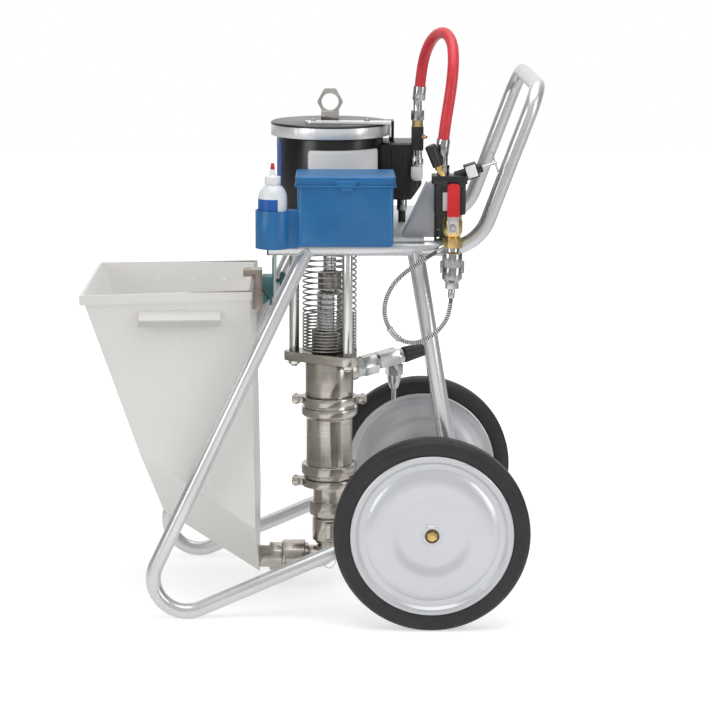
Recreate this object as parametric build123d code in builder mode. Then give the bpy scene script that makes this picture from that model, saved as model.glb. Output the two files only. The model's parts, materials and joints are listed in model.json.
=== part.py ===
from build123d import *

import math
import os

os.makedirs("parts", exist_ok=True)

# Air-driven piston pump on a two-wheel cart, with a gravity hopper in front of it.
# Millimetres. Z = 0 is the floor, -X is the front (hopper), +X the back (handle), and -Y is the
# operator's side, with the toolbox and the air controls. The pump stands on the plane Y = 0.
# The origin is on the floor under the middle of the whole cart.

# ------------------------------------------------------------------ cart
hopper_reach = 727.0  # hopper lip, ahead of the axle
handle_reach = 226.0  # back of the handle bar, behind the axle
track = 674.0  # over both tyres
wheel_r = 203.2
tyre_width = 50.0
rim_r = 166.0
disc_r = 169.0
hub_r = 20.0
axle_r = 9.525
axle_spacer_r = 12.7
running_gap = 0.05  # radial, wheels and rods in their bores

tube_r = 15.875
tube_wall = 2.0
side_y = 244.0  # centre of each side frame
rail_z = 788.0
rail_front = 337.0  # tube end, ahead of the axle
plug_rim = 3.0
rail_corner = 89.0  # rail and handle lines cross here, behind the axle
rail_bend_r = 90.0
handle_z = 1117.0
handle_bend_r = 60.0
leg_top = 257.5  # front leg on the rail, ahead of the axle
foot_reach = 510.0  # foot on the floor, ahead of the axle
foot_bend_r = 70.0
rear_leg_top = 36.0
rear_leg_foot = 55.0  # behind the axle
weld_bite = 1.5  # axle sunk into the two lower tubes

deck_front = 331.0
deck_back = 20.0
deck_t = 6.0

# ------------------------------------------------------------------ hopper
sheet = 2.0
rim_proud = 4.0
rim_band = 20.0
hopper_front_z = 684.0
hopper_back = 377.0  # rear wall at the rim, ahead of the axle
hopper_back_z = 692.5
hopper_front_half = 224.5
hopper_back_half = 202.0
crease_front = 608.5  # upper end of the side crease
crease_front_z = 352.0
trough_front = 574.0
trough_front_z = 170.0
trough_back = 364.0
trough_back_z = 33.0
outlet_z = 67.0
outlet_r = 24.0
outlet_bore = 19.0

# ------------------------------------------------------------------ suction line
pump_ahead = 212.0  # pump axis, ahead of the axle
elbow_reach = 46.0
elbow_rise = 34.0
elbow_bend_r = 30.0
pipe_r = 25.0
nipple_length = 6.0
coupler_r = 36.5
coupler_length = 50.0
spigot_r = 25.0
spigot_length = 24.0
adapter_r = 31.0
adapter_length = 28.0
fit_gap = 0.2
slot_w = 15.0
slot_depth = 8.0
arm_w = 14.0
arm_t = 4.8
arm_head_r = 4.3
arm_length = 38.0
arm_back = 11.0  # pivot, behind the coupler's face
pin_r = 2.5

# ------------------------------------------------------------------ pump
intake_collar = 7.0
intake_ring = 30.0
intake_ring_r = 42.0
intake_ring_flats = 78.0
intake_neck = 44.5
intake_neck_r = 35.0
intake_bore = 30.0
intake_ball_r = 25.0
intake_seat_r = 20.0
seat_above_ring = 6.0
piston_ball_r = 15.0
piston_seat_r = 11.0
piston_seat_h = 14.0
ball_lift = 6.0
ball_gap = 0.3
stop_bar_r = 4.0
ferrule_r = 56.0
ferrule_t = 5.0
under_clamp_r = 51.0
clamp_r = 59.5
clamp_h = 16.0
clamp_gap = 0.3
clamp_ear = 80.5
clamp_bolt_in = 8.0  # bolt, inside the end of the ear
clamp_bolt_r = 5.0
clamp_nut_flats = 16.0
cylinder_length = 182.5
cylinder_r = 50.0
bore_r = 42.0
collar_r = 60.5
low_collar_h = 22.0
top_collar_h = 18.0
shoulder_r = 55.0
housing_h = 87.0
housing_r = 52.0
flange_t = 20.0
flange_hub_r = 57.0
rod_circle = 76.0
tie_rod_r = 11.0
tie_stud_r = 8.0
nut_flats = 22.0
nut_h = 9.0
stud_end = 5.0
lobe_r = 22.0
stroke = 120.0
piston_h = 32.0
plunger_r = 27.0
plunger_neck_r = 15.0
coupling_r = 25.5
coupling_h = 37.0
coupling_drop = 109.875  # deck top down to the coupling
motor_rod_r = 14.0
packing_r = 36.0
packing_lip = 4.0
wet_cup_r = 38.0
wet_cup_h = 46.0
wet_cup_wall = 4.0
guard_r = 57.5
guard_wire = 3.0
guard_pitch = 12.5
guard_tight_pitch = 7.0
guard_tight_turns = 12

# ------------------------------------------------------------------ air motor
barrel_r = 112.5
barrel_wall = 6.0
motor_base_t = 20.0
motor_top = 998.0
cover_t = 26.0
cover_rim = 5.0
band_r = 125.0
band_t = 2.5
strap_w = 30.0
strap_t = 6.0
air_piston_t = 24.0
valve_block_low = 860.0
valve_block_h = 121.0
eye_hole_r = 18.0
eye_half = 27.5  # centre to either side corner
eye_rise = 28.0  # centre to the top flat
eye_t = 14.0
eye_lift = 41.0  # cover top up to the eye's centre
eye_base = 38.0

# ------------------------------------------------------------------ fluid outlet branch
branch_h = 51.0  # above the outlet housing's foot
branch_turn = 25.0  # degrees from straight back towards the far side
branch_rise = 10.0  # degrees above level
boss_r = 24.0
boss_end = 62.0  # distances along the branch, from the pump axis
branch_bore = 9.0
valve_start = 128.0
valve_end = 178.0
knob_gap = 2.0
knob_r = 17.5
knob_end = 233.0
tee_at = 159.0
tee_nut_flats = 34.0
tee_nut_low = 38.0  # heights below the branch line
tee_collar_low = 68.0
tee_end = 95.0
drain_r = 5.0

# ------------------------------------------------------------------ air controls
control_mid = -275.0
control_rear = -242.0
plate_t = 4.0
regulator_low = 864.0
regulator_h = 62.0
regulator_w = 63.0
regulator_d = 60.0
head_h = 16.0
adjuster_rise = 18.0  # degrees
adjuster_rod_r = 3.0
relief_lean = 23.0  # degrees
relief_r = 11.5
valve_x = 36.5  # behind the axle
valve_y = -285.0
valve_h = 68.0  # foot of the ball valve, below the regulator
stem_drop = 24.0
lever_w = 25.0
lever_length = 88.0
claw_r = 20.5
claw_h = 84.0
hose_r = 11.5
cable_r = 4.0

# ------------------------------------------------------------------ toolbox and bottle
box_front_y = -325.0
box_depth = 140.0
box_left = 281.0  # ahead of the axle
box_width = 201.0
box_top = 943.0
lid_h = 18.0
lid_proud = 4.0  # lid edge, outside the box
box_skirt = 800.0  # lowest edge, in front of the rail
box_wall = 3.0
box_corner = 10.0
hinge_r = 4.0
hinge_pin_r = 2.0
latch_ahead = 179.0
latch_w = 40.0
latch_tab_w = 25.0
latch_pin_drop = 10.0  # below the lid's top
latch_drop = 27.0
bottle_ahead = 327.0
bottle_y = -297.0
bottle_r = 30.0
bottle_low = 799.5
bottle_shoulder = 893.0
cap_low = 908.0
nozzle_top = 967.6
cup_wall = 3.0
cup_low = 796.0
cup_top = 873.0
cup_gap = 2.0

# ------------------------------------------------------------------ derived places
axle_x = (hopper_reach - handle_reach) / 2
wheel_mid = (track - tyre_width) / 2
rail_top = rail_z + tube_r
rail_end_x = axle_x - rail_front
handle_x = axle_x + handle_reach - tube_r
deck_top = rail_top + deck_t
pump_x = axle_x - pump_ahead
motor_low = deck_top
barrel_low = motor_low + motor_base_t
cover_top = motor_top + cover_t
regulator_top = regulator_low + regulator_h
head_top = regulator_top + head_h
valve_low = regulator_low - valve_h
valve_stem_z = regulator_low - stem_drop
claw_low = valve_low - claw_h
latch_x = axle_x - latch_ahead
latch_pin_z = box_top - latch_pin_drop
latch_low = box_top - latch_drop
cup_r = bottle_r + cup_gap + cup_wall
half_stroke = stroke / 2
arm_pivot_r = coupler_r - slot_depth + arm_head_r + 0.2

# The pump is stacked upwards from the suction line.
ring_low = outlet_z + elbow_rise + nipple_length + coupler_length + intake_collar
ring_top = ring_low + intake_ring
joint_low = ring_top + intake_neck
joint_top = joint_low + cylinder_length
flange_low = joint_top + housing_h
flange_top = flange_low + flange_t
seat_z = ring_top + seat_above_ring
collar_low = joint_low + 18.5
collar_top = joint_top - 16.5


def write(name, *pieces):
    """Label a finished piece and write it; pieces that share a node stay separate solids."""
    node = pieces[0].part if len(pieces) == 1 else Compound(children=[piece.part for piece in pieces])
    node.label = name
    export_step(node, f"parts/{name}.step")


def turned(frame, *profile, mode=Mode.ADD):
    """Body of revolution about a plane's normal, from (radius, height) points."""
    with BuildSketch(Plane(origin=frame.origin, x_dir=frame.x_dir, z_dir=-frame.y_dir)) as section:
        with BuildLine():
            Polyline(*profile, close=True)
        make_face()
    revolve(section.sketch, axis=Axis(frame.origin, frame.z_dir), mode=mode)


def disc(frame, radius, low, high, mode=Mode.ADD):
    """Cylinder on a plane's normal, between two heights."""
    with Locations(frame.offset(low).location):
        Cylinder(radius, high - low, align=(Align.CENTER, Align.CENTER, Align.MIN), mode=mode)


def hexagon(frame, across_flats, low, high, mode=Mode.ADD):
    """Hexagonal prism on a plane's normal, between two heights."""
    with BuildSketch(frame.offset(low)) as section:
        RegularPolygon(across_flats / 2, 6, major_radius=False)
    extrude(section.sketch, amount=high - low, mode=mode)


def block(x0, x1, y0, y1, z0, z1, mode=Mode.ADD, frame=Plane.XY):
    """Box between two corners, given in a plane's own directions."""
    with Locations(frame.location * Location(((x0 + x1) / 2, (y0 + y1) / 2, (z0 + z1) / 2))):
        Box(x1 - x0, y1 - y0, z1 - z0, mode=mode)


def meet(p, p_angle, q, q_angle):
    """Crossing of two lines in a vertical plane, each a point (x, z) and a slope angle."""
    px, pz = p
    qx, qz = q
    reach = (qx - px) * math.sin(q_angle) - (qz - pz) * math.cos(q_angle)
    step = reach / math.sin(q_angle - p_angle)
    return px + step * math.cos(p_angle), pz + step * math.sin(p_angle)


def ring_of_three(radius):
    """The three tie rod places round the pump axis; one points to the front."""
    spots = [math.radians(180 + 120 * i) for i in range(3)]
    return [(pump_x + radius * math.cos(a), radius * math.sin(a)) for a in spots]


# ------------------------------------------------------------------ frame lines
# The lower tube runs under the foot bend's centre and over the axle, tangent to both; the
# front leg is tangent to the same bend, from its place on the rail.
foot_x = axle_x - foot_reach
foot_z = tube_r + foot_bend_r
leg_top_x = axle_x - leg_top
over_axle = tube_r + axle_spacer_r - weld_bite
bend_to_axle = math.hypot(axle_x - foot_x, wheel_r - foot_z)
lower_slope = math.atan2(wheel_r - foot_z, axle_x - foot_x)
lower_slope += math.asin((foot_bend_r + over_axle) / bend_to_axle)
leg_slope = math.atan2(rail_z - foot_z, leg_top_x - foot_x)
leg_slope -= math.asin(foot_bend_r / math.hypot(leg_top_x - foot_x, rail_z - foot_z))
lower_start = (foot_x + foot_bend_r * math.sin(lower_slope), foot_z - foot_bend_r * math.cos(lower_slope))
corner_x, corner_z = meet((leg_top_x, rail_z), leg_slope, lower_start, lower_slope)
rear_top_x = axle_x - rear_leg_top
rear_foot_x = axle_x + rear_leg_foot
rear_foot_z = lower_start[1] + (rear_foot_x - lower_start[0]) * math.tan(lower_slope)
lower_end_x = rear_foot_x + tube_r
lower_end_z = rear_foot_z + tube_r * math.tan(lower_slope)

pump = Plane(origin=(pump_x, 0, 0))
turn = math.radians(branch_turn)
rise = math.radians(branch_rise)
branch = Plane(
    origin=(pump_x, 0, joint_top + branch_h),
    x_dir=(-math.sin(turn), math.cos(turn), 0),
    z_dir=(math.cos(turn) * math.cos(rise), math.sin(turn) * math.cos(rise), math.sin(rise)),
)
lean = math.radians(adjuster_rise)
adjuster = Plane(
    origin=(axle_x + 40, control_mid, head_top - 2),
    x_dir=(0, 1, 0),
    z_dir=(math.cos(lean), 0, math.sin(lean)),
)


def tube_section():
    """Ring cut across the cart's tubing."""
    Circle(tube_r)
    Circle(tube_r - tube_wall, mode=Mode.SUBTRACT)


def rail_bodies(mode):
    """Solid cylinders along both rails, which cope what is welded to them."""
    for y in (-side_y, side_y):
        with Locations((leg_top_x, y, rail_z)):
            Cylinder(tube_r, 2 * (rail_front + rail_corner), rotation=(0, 90, 0), mode=mode)


def lower_bodies(mode):
    """Solid cylinders along both lower tubes, for coping."""
    tilt = 90 - math.degrees(lower_slope)
    for y in (-side_y, side_y):
        with Locations((rear_foot_x, y, rear_foot_z)):
            Cylinder(tube_r, rail_front, rotation=(0, tilt, 0), mode=mode)


# One tube makes both rails and the handle: two rail bends, and two at the handle's corners.
with BuildPart() as handle_rail:
    with BuildLine() as run:
        FilletPolyline(
            (rail_end_x, -side_y, rail_z),
            (axle_x + rail_corner, -side_y, rail_z),
            (handle_x, -side_y, handle_z),
            (handle_x, side_y, handle_z),
            (axle_x + rail_corner, side_y, rail_z),
            (rail_end_x, side_y, rail_z),
            radius=[rail_bend_r, handle_bend_r, handle_bend_r, rail_bend_r],
        )
    with BuildSketch(Plane(origin=run.line @ 0, z_dir=run.line % 0)):
        tube_section()
    sweep()
write("handle_rail", handle_rail)

with BuildPart() as front_legs:
    for y in (-side_y, side_y):
        with BuildLine() as run:
            FilletPolyline(
                (leg_top_x, y, rail_z),
                (corner_x, y, corner_z),
                (lower_end_x, y, lower_end_z),
                radius=foot_bend_r,
            )
        with BuildSketch(Plane(origin=run.line @ 0, z_dir=run.line % 0)):
            tube_section()
        sweep()
    rail_bodies(Mode.SUBTRACT)

with BuildPart() as rear_legs:
    for y in (-side_y, side_y):
        top = Vector(rear_top_x, y, rail_z)
        foot = Vector(rear_foot_x, y, rear_foot_z)
        with BuildSketch(Plane(origin=top, z_dir=foot - top)):
            tube_section()
        extrude(amount=(foot - top).length)
    rail_bodies(Mode.SUBTRACT)
    lower_bodies(Mode.SUBTRACT)
write("cart_legs", front_legs, rear_legs)

with BuildPart() as rail_plugs:
    for y in (-side_y, side_y):
        end = Plane(origin=(rail_end_x, y, rail_z), z_dir=(-1, 0, 0))
        disc(end, tube_r, 0, plug_rim)
        disc(end, tube_r - tube_wall, -15, 0)
write("rail_plugs", rail_plugs)

# ------------------------------------------------------------------ axle and wheels
hub_half = tyre_width / 2 + 2
spacer_end = wheel_mid - hub_half - 0.5
hub_face = wheel_mid + 20.0
hub_recess = 7.0
recess_r = 15.0
washer_t = 2.0
head_t = 7.0
axle_end = hub_face - hub_recess + 0.4

with BuildPart() as axle:
    cross = Plane(origin=(axle_x, 0, wheel_r), z_dir=(0, 1, 0))
    disc(cross, axle_spacer_r, -spacer_end, spacer_end)
    lower_bodies(Mode.SUBTRACT)
    disc(cross, axle_r, -axle_end, axle_end)

with BuildPart() as axle_bolts:
    for side in (-1, 1):
        end = Plane(origin=(axle_x, side * axle_end, wheel_r), x_dir=(0, 0, 1), z_dir=(0, side, 0))
        disc(end, recess_r - 1, 0, washer_t)
        hexagon(end, 19, washer_t, washer_t + head_t)
write("axle", axle, axle_bolts)

for side, where in ((-1, "near"), (1, "far")):
    wheel = Plane(origin=(axle_x, side * wheel_mid, wheel_r), x_dir=(1, 0, 0), z_dir=(0, side, 0))
    half = tyre_width / 2

    with BuildPart() as tyre:
        with BuildSketch(Plane(origin=wheel.origin, x_dir=wheel.x_dir, z_dir=-wheel.y_dir)) as section:
            with BuildLine():
                Polyline(
                    (rim_r, -half + 7),
                    (disc_r + 3, -half + 3),
                    (disc_r + 14, -half),
                    (wheel_r - 8, -half + 1.5),
                    (wheel_r, -half + 10),
                    (wheel_r, half - 10),
                    (wheel_r - 8, half - 1.5),
                    (disc_r + 14, half),
                    (disc_r + 3, half - 3),
                    (rim_r, half - 7),
                    close=True,
                )
            make_face()
        revolve(section.sketch, axis=Axis(wheel.origin, wheel.z_dir), mode=Mode.ADD)
    write(f"tyre_{where}", tyre)

    # Pressed disc wheel: lip, channel, crown and a shallow dish round the hub, on both faces.
    with BuildPart() as wheel_disc:
        turned(
            wheel,
            (rim_r, -half + 7),
            (rim_r, half - 7),
            (disc_r, half - 3.2),
            (disc_r - 3, half - 1),
            (157, half - 3),
            (151, half - 11),
            (139, half - 11),
            (131, half - 5),
            (112, half - 1.5),
            (80, half - 3),
            (74, half - 6.5),
            (hub_r + 2, half - 8),
            (hub_r, half - 5),
            (recess_r, half - 5),
            (recess_r, half - 5 - hub_recess),
            (axle_r + running_gap, half - 5 - hub_recess),
            (axle_r + running_gap, -hub_half),
            (hub_r, -hub_half),
            (hub_r + 2, -half + 8),
            (74, -half + 6.5),
            (112, -half + 1.5),
            (139, -half + 11),
            (151, -half + 11),
            (disc_r - 3, -half + 1),
            (disc_r, -half + 3.2),
        )
        cavity = [(30, 14), (116, 18), (137, 10), (155, 10)]
        mirrored = [(r, -w) for r, w in reversed(cavity)]
        turned(wheel, *cavity, *mirrored, mode=Mode.SUBTRACT)
    write(f"wheel_{where}", wheel_disc)

# ------------------------------------------------------------------ deck and hopper hanger
hanger_x = axle_x - deck_front
hanger_low = 650.0
hanger_half = 60.0
hanger_t = 4.0
rod_hole = 0.6  # clearance round the tie rods in the deck

with BuildPart() as deck_plate:
    block(axle_x - deck_front, axle_x - deck_back, -side_y - tube_r, side_y + tube_r, rail_top, deck_top)
    disc(pump, guard_r + 4, rail_top, deck_top, mode=Mode.SUBTRACT)
    for x, y in ring_of_three(rod_circle):
        disc(Plane(origin=(x, y, 0)), tie_rod_r + rod_hole, rail_top, deck_top, mode=Mode.SUBTRACT)
    # a strip bent down from the front edge carries the hopper
    block(hanger_x, hanger_x + hanger_t, -hanger_half, hanger_half, hanger_low, rail_top)
write("deck_plate", deck_plate)

# ------------------------------------------------------------------ hopper
front_x = axle_x - hopper_reach + rim_proud
back_x = axle_x - hopper_back
crease_x = axle_x - crease_front
trough_x = axle_x - trough_front
outlet_x = axle_x - trough_back
plan_slope = (hopper_front_half - hopper_back_half) / (back_x - front_x)
crease_half = hopper_front_half - plan_slope * (crease_x - front_x)
rim_length = math.hypot(back_x - front_x, hopper_back_z - hopper_front_z)
rim_plane = Plane(
    origin=(front_x, 0, hopper_front_z),
    x_dir=(back_x - front_x, 0, hopper_back_z - hopper_front_z),
    z_dir=(hopper_front_z - hopper_back_z, 0, back_x - front_x),
)

with BuildPart() as hopper_form:
    with BuildSketch(Plane.XZ):
        with BuildLine():
            Polyline(
                (front_x, hopper_front_z),
                (crease_x, crease_front_z),
                (trough_x, trough_front_z),
                (outlet_x, trough_back_z),
                (back_x, hopper_back_z),
                close=True,
            )
        make_face()
    extrude(amount=hopper_front_half, both=True)
    with BuildSketch(Plane.XY):
        with BuildLine():
            Polyline(
                (front_x, -hopper_front_half),
                (back_x, -hopper_back_half),
                (outlet_x + 1, -hopper_back_half + plan_slope * (outlet_x + 1 - back_x)),
                (outlet_x + 1, hopper_back_half - plan_slope * (outlet_x + 1 - back_x)),
                (back_x, hopper_back_half),
                (front_x, hopper_front_half),
                close=True,
            )
        make_face()
    extrude(amount=hopper_back_z + 10, mode=Mode.INTERSECT)
    for side in (-1, 1):
        trough_front_point = Vector(trough_x, 0, trough_front_z)
        along = Vector(outlet_x, 0, trough_back_z) - trough_front_point
        up_side = Vector(crease_x, side * crease_half, crease_front_z) - trough_front_point
        split(bisect_by=Plane(origin=trough_front_point, z_dir=along.cross(up_side) * side), keep=Keep.TOP)

with BuildPart() as hopper_walls:
    add(hopper_form.part)
    offset(amount=-sheet, openings=hopper_walls.faces().sort_by(Axis.Z)[-1])

with BuildPart() as hopper_shell:
    with BuildSketch(rim_plane):
        with BuildLine():
            Polyline(
                (0, -hopper_front_half),
                (rim_length, -hopper_back_half),
                (rim_length, hopper_back_half),
                (0, hopper_front_half),
                close=True,
            )
        make_face()
        offset(amount=rim_proud, kind=Kind.INTERSECTION)
    extrude(amount=-rim_band)
    add(hopper_form.part, mode=Mode.SUBTRACT)
    add(hopper_walls.part)
    outlet = Plane(origin=(outlet_x, 0, outlet_z), x_dir=(0, 0, 1), z_dir=(1, 0, 0))
    disc(outlet, outlet_bore, -2 * sheet, 5, mode=Mode.SUBTRACT)
write("hopper_shell", hopper_shell)

# Sheet pulls on both sides: a strip that slopes out from the wall and ends in a lip.
pull_left = 607.0
pull_right = 437.0
pull_top = 652.0
pull_drop = 30.0
pull_out = 24.0

with BuildPart() as hopper_handles:
    for side in (-1, 1):
        wall_left = hopper_front_half - plan_slope * (axle_x - pull_left - front_x)
        wall_right = hopper_front_half - plan_slope * (axle_x - pull_right - front_x)
        face = Plane(
            origin=(axle_x - pull_left, side * wall_left, pull_top),
            x_dir=(0, side, 0),
            z_dir=(pull_left - pull_right, side * (wall_right - wall_left), 0),
        )
        up = 1 if face.y_dir.Z > 0 else -1
        with BuildSketch(face):
            with BuildLine():
                Polyline(
                    (0, 0),
                    (pull_out - 6, up * -(pull_drop - 12)),
                    (pull_out, up * -(pull_drop - 12)),
                    (pull_out, up * -pull_drop),
                    (pull_out - sheet, up * -pull_drop),
                    (pull_out - sheet, up * -(pull_drop - 10)),
                    (pull_out - 7, up * -(pull_drop - 10)),
                    (0, up * -3),
                    close=True,
                )
            make_face()
        extrude(amount=pull_left - pull_right)
        for low in (0, pull_left - pull_right - sheet):
            with BuildSketch(face.offset(low)):
                with BuildLine():
                    Polyline(
                        (0, 0),
                        (pull_out - 6, up * -(pull_drop - 12)),
                        (pull_out, up * -(pull_drop - 12)),
                        (pull_out, up * -pull_drop),
                        (pull_out - sheet, up * -pull_drop),
                        (0, up * -18),
                        close=True,
                    )
                make_face()
            extrude(amount=sheet)
        add(hopper_form.part, mode=Mode.SUBTRACT)
write("hopper_handles", hopper_handles)

# The hopper hangs by a block on its rear wall, hooked over a clamp on the hanger strip.
mount_low = 622.0
mount_top = 707.0
mount_half = 30.0
mount_out = axle_x - 357.0
screw_z = 652.0
pad_t = 4.0

with BuildPart() as hopper_mount:
    block(back_x - 20, mount_out, -mount_half, mount_half, mount_low, mount_low + 44)
    block(back_x - 20, mount_out, -mount_half + 8, mount_half - 8, mount_low + 44, mount_top)
    add(hopper_form.part, mode=Mode.SUBTRACT)
    add(hopper_shell.part, mode=Mode.SUBTRACT)
    with BuildSketch(Plane.XZ):
        with BuildLine():
            Polyline(
                (mount_out, mount_low + 8),
                (mount_out + 16, mount_low + 20),
                (mount_out, mount_low + 40),
                close=True,
            )
        make_face()
    extrude(amount=mount_half - 6, both=True)

with BuildPart() as hopper_clamp:
    with BuildSketch(Plane.XZ):
        with BuildLine():
            Polyline(
                (hanger_x - pad_t, mount_top - 15),
                (mount_out + 1, mount_top - 15),
                (mount_out + 1, mount_low + 44),
                (mount_out + 17, mount_low + 22),
                (hanger_x - pad_t - 6, screw_z - 22),
                (hanger_x - pad_t, screw_z - 22),
                close=True,
            )
        make_face()
    extrude(amount=mount_half - 8, both=True)
    add(hopper_mount.part, mode=Mode.SUBTRACT)
    block(hanger_x - pad_t, hanger_x, -mount_half, mount_half, screw_z - 2, rail_top - 70)
write("hopper_mount", hopper_mount, hopper_clamp)

knob = Plane(origin=(hanger_x + hanger_t, 0, screw_z + 28), x_dir=(0, 1, 0), z_dir=(1, 0, 0))
with BuildPart() as hopper_knob:
    disc(knob, 4, 0.4, 10)
    turned(knob, (0, 8), (17, 8), (19, 10), (19, 18), (15, 21), (0, 21))
write("hopper_knob", hopper_knob)

# ------------------------------------------------------------------ suction line
# Hopper outlet, cam coupling, elbow, cam coupling, intake: the couplings are the same part.
elbow_end = Plane(origin=(pump_x - elbow_reach, 0, outlet_z), x_dir=(0, 0, 1), z_dir=(-1, 0, 0))
elbow_top = Plane(origin=(pump_x, 0, outlet_z + elbow_rise), x_dir=(1, 0, 0), z_dir=(0, 0, 1))
face_at = nipple_length + coupler_length
adapter_end = elbow_reach + face_at + adapter_length


def spigot_adapter(frame, length):
    """Male half of a cam coupling: spigot inside the coupler, groove and shoulder outside it."""
    disc(frame, spigot_r, face_at - spigot_length, face_at)
    disc(frame, adapter_r, face_at, face_at + length)


def cam_coupler(frame):
    """Female half: a stepped body with a slot and a pivot pin on each side for its arms."""
    turned(
        frame,
        (outlet_bore, 0),
        (pipe_r + 5, 0),
        (pipe_r + 5, nipple_length),
        (coupler_r - 2, nipple_length),
        (coupler_r, nipple_length + 2),
        (coupler_r, face_at - 2),
        (coupler_r - 2, face_at),
        (spigot_r + fit_gap, face_at),
        (spigot_r + fit_gap, face_at - spigot_length - 1),
        (outlet_bore, face_at - spigot_length - 1),
    )
    for side in (-1, 1):
        near, far = sorted((side * (coupler_r - slot_depth), side * (coupler_r + 1)))
        block(-slot_w / 2, slot_w / 2, near, far, nipple_length - 1, face_at - 3, Mode.SUBTRACT, frame)
        at = frame.location * Location((0, side * arm_pivot_r, face_at - arm_back))
        with Locations(at):
            Cylinder(pin_r, slot_w + 2, rotation=(0, 90, 0))


def cam_arm(frame, side):
    """Lever of a cam coupling, closed: it lies back along the body in its slot."""
    at = (frame.location * Location((0, side * arm_pivot_r, face_at - arm_back))).position
    hinge = Plane(origin=at, x_dir=frame.y_dir * side, z_dir=frame.x_dir * side)
    with BuildSketch(hinge) as shape:
        Circle(arm_head_r)
        with BuildLine():
            Polyline(
                (arm_head_r, 0),
                (arm_head_r, -arm_length + 8),
                (arm_head_r + 5, -arm_length),
                (arm_head_r, -arm_length - 2),
                (arm_head_r - arm_t, -arm_length + 6),
                (arm_head_r - arm_t, 0),
                close=True,
            )
        make_face()
        Circle(pin_r + running_gap, mode=Mode.SUBTRACT)
    extrude(shape.sketch, amount=arm_w / 2, both=True)


with BuildPart() as hopper_outlet:
    disc(elbow_end, outlet_r, face_at + adapter_length, pump_x - elbow_reach - outlet_x)
    spigot_adapter(elbow_end, adapter_length)
    disc(elbow_end, outlet_bore, 0, pump_x - elbow_reach - outlet_x + sheet, mode=Mode.SUBTRACT)
    add(hopper_form.part, mode=Mode.SUBTRACT)
write("hopper_outlet", hopper_outlet)

with BuildPart() as inlet_elbow:
    with BuildSketch(elbow_top.offset(elbow_bend_r - elbow_rise)) as mouth:
        Circle(pipe_r)
        Circle(outlet_bore, mode=Mode.SUBTRACT)
    bend_axis = Axis((pump_x - elbow_bend_r, 0, outlet_z + elbow_bend_r), (0, 1, 0))
    revolve(axis=bend_axis, revolution_arc=90)
    extrude(mouth.sketch, amount=elbow_rise - elbow_bend_r)
    with BuildSketch(elbow_end):
        Circle(pipe_r)
        Circle(outlet_bore, mode=Mode.SUBTRACT)
    extrude(amount=elbow_bend_r - elbow_reach)
write("inlet_elbow", inlet_elbow)

with BuildPart() as inlet_coupler:
    cam_coupler(elbow_end)
write("inlet_coupler", inlet_coupler)

with BuildPart() as intake_coupler:
    cam_coupler(elbow_top)
write("intake_coupler", intake_coupler)

for frame, place in ((elbow_end, "inlet"), (elbow_top, "intake")):
    for side, where in ((-1, "near"), (1, "far")):
        with BuildPart() as arm:
            cam_arm(frame, side)
        write(f"{place}_arm_{where}", arm)

# ------------------------------------------------------------------ intake check valve
ball_z = seat_z + math.sqrt(intake_ball_r**2 - intake_seat_r**2) + ball_gap
stop_z = ball_z + intake_ball_r + ball_lift + ball_gap + stop_bar_r

with BuildPart() as intake_housing:
    hexagon(pump, intake_ring_flats, ring_low, ring_top)
    disc(pump, intake_ring_r, ring_low, ring_top, mode=Mode.INTERSECT)
    turned(
        pump,
        (0, ring_low - intake_collar),
        (adapter_r, ring_low - intake_collar),
        (adapter_r, ring_low),
        (intake_neck_r, ring_low),
        (intake_neck_r, joint_low - ferrule_t - 6),
        (under_clamp_r, joint_low - ferrule_t - 3),
        (under_clamp_r, joint_low - ferrule_t),
        (ferrule_r, joint_low - ferrule_t),
        (ferrule_r, joint_low),
        (0, joint_low),
    )
    disc(pump, spigot_r, ring_low - intake_collar - spigot_length, ring_low - intake_collar)
    disc(pump, intake_seat_r, 0, seat_z, mode=Mode.SUBTRACT)
    disc(pump, intake_bore, seat_z, joint_low, mode=Mode.SUBTRACT)
    for side in (-1, 1):
        face = side * (intake_neck_r - 3)
        low, high = sorted((face, side * (intake_neck_r + 2)))
        block(pump_x - 20, pump_x + 20, low, high, ring_top + 6, ring_top + 26, Mode.SUBTRACT)
write("intake_housing", intake_housing)

with BuildPart() as intake_ball:
    with Locations((pump_x, 0, ball_z)):
        Sphere(intake_ball_r)
write("intake_ball", intake_ball)

# ------------------------------------------------------------------ pump cylinder
with BuildPart() as pump_cylinder:
    turned(
        pump,
        (bore_r, joint_low),
        (ferrule_r, joint_low),
        (ferrule_r, joint_low + ferrule_t),
        (under_clamp_r, joint_low + ferrule_t),
        (under_clamp_r, joint_low + clamp_h / 2),
        (shoulder_r, joint_low + clamp_h / 2 + 1),
        (shoulder_r, collar_low),
        (collar_r - 2, collar_low),
        (collar_r, collar_low + 2),
        (collar_r, collar_low + low_collar_h - 2),
        (collar_r - 2, collar_low + low_collar_h),
        (cylinder_r, collar_low + low_collar_h),
        (cylinder_r, collar_top - top_collar_h - 6),
        (collar_r - 1, collar_top - top_collar_h + 2),
        (collar_r, collar_top - top_collar_h + 4),
        (collar_r, collar_top),
        (shoulder_r, collar_top),
        (shoulder_r, joint_top - clamp_h / 2 - 1),
        (under_clamp_r, joint_top - clamp_h / 2),
        (under_clamp_r, joint_top - ferrule_t),
        (ferrule_r, joint_top - ferrule_t),
        (ferrule_r, joint_top),
        (bore_r, joint_top),
    )
    with Locations((pump_x, 0, stop_z)):
        Cylinder(stop_bar_r, 2 * bore_r + 4, rotation=(90, 0, 0))
write("pump_cylinder", pump_cylinder)

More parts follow.
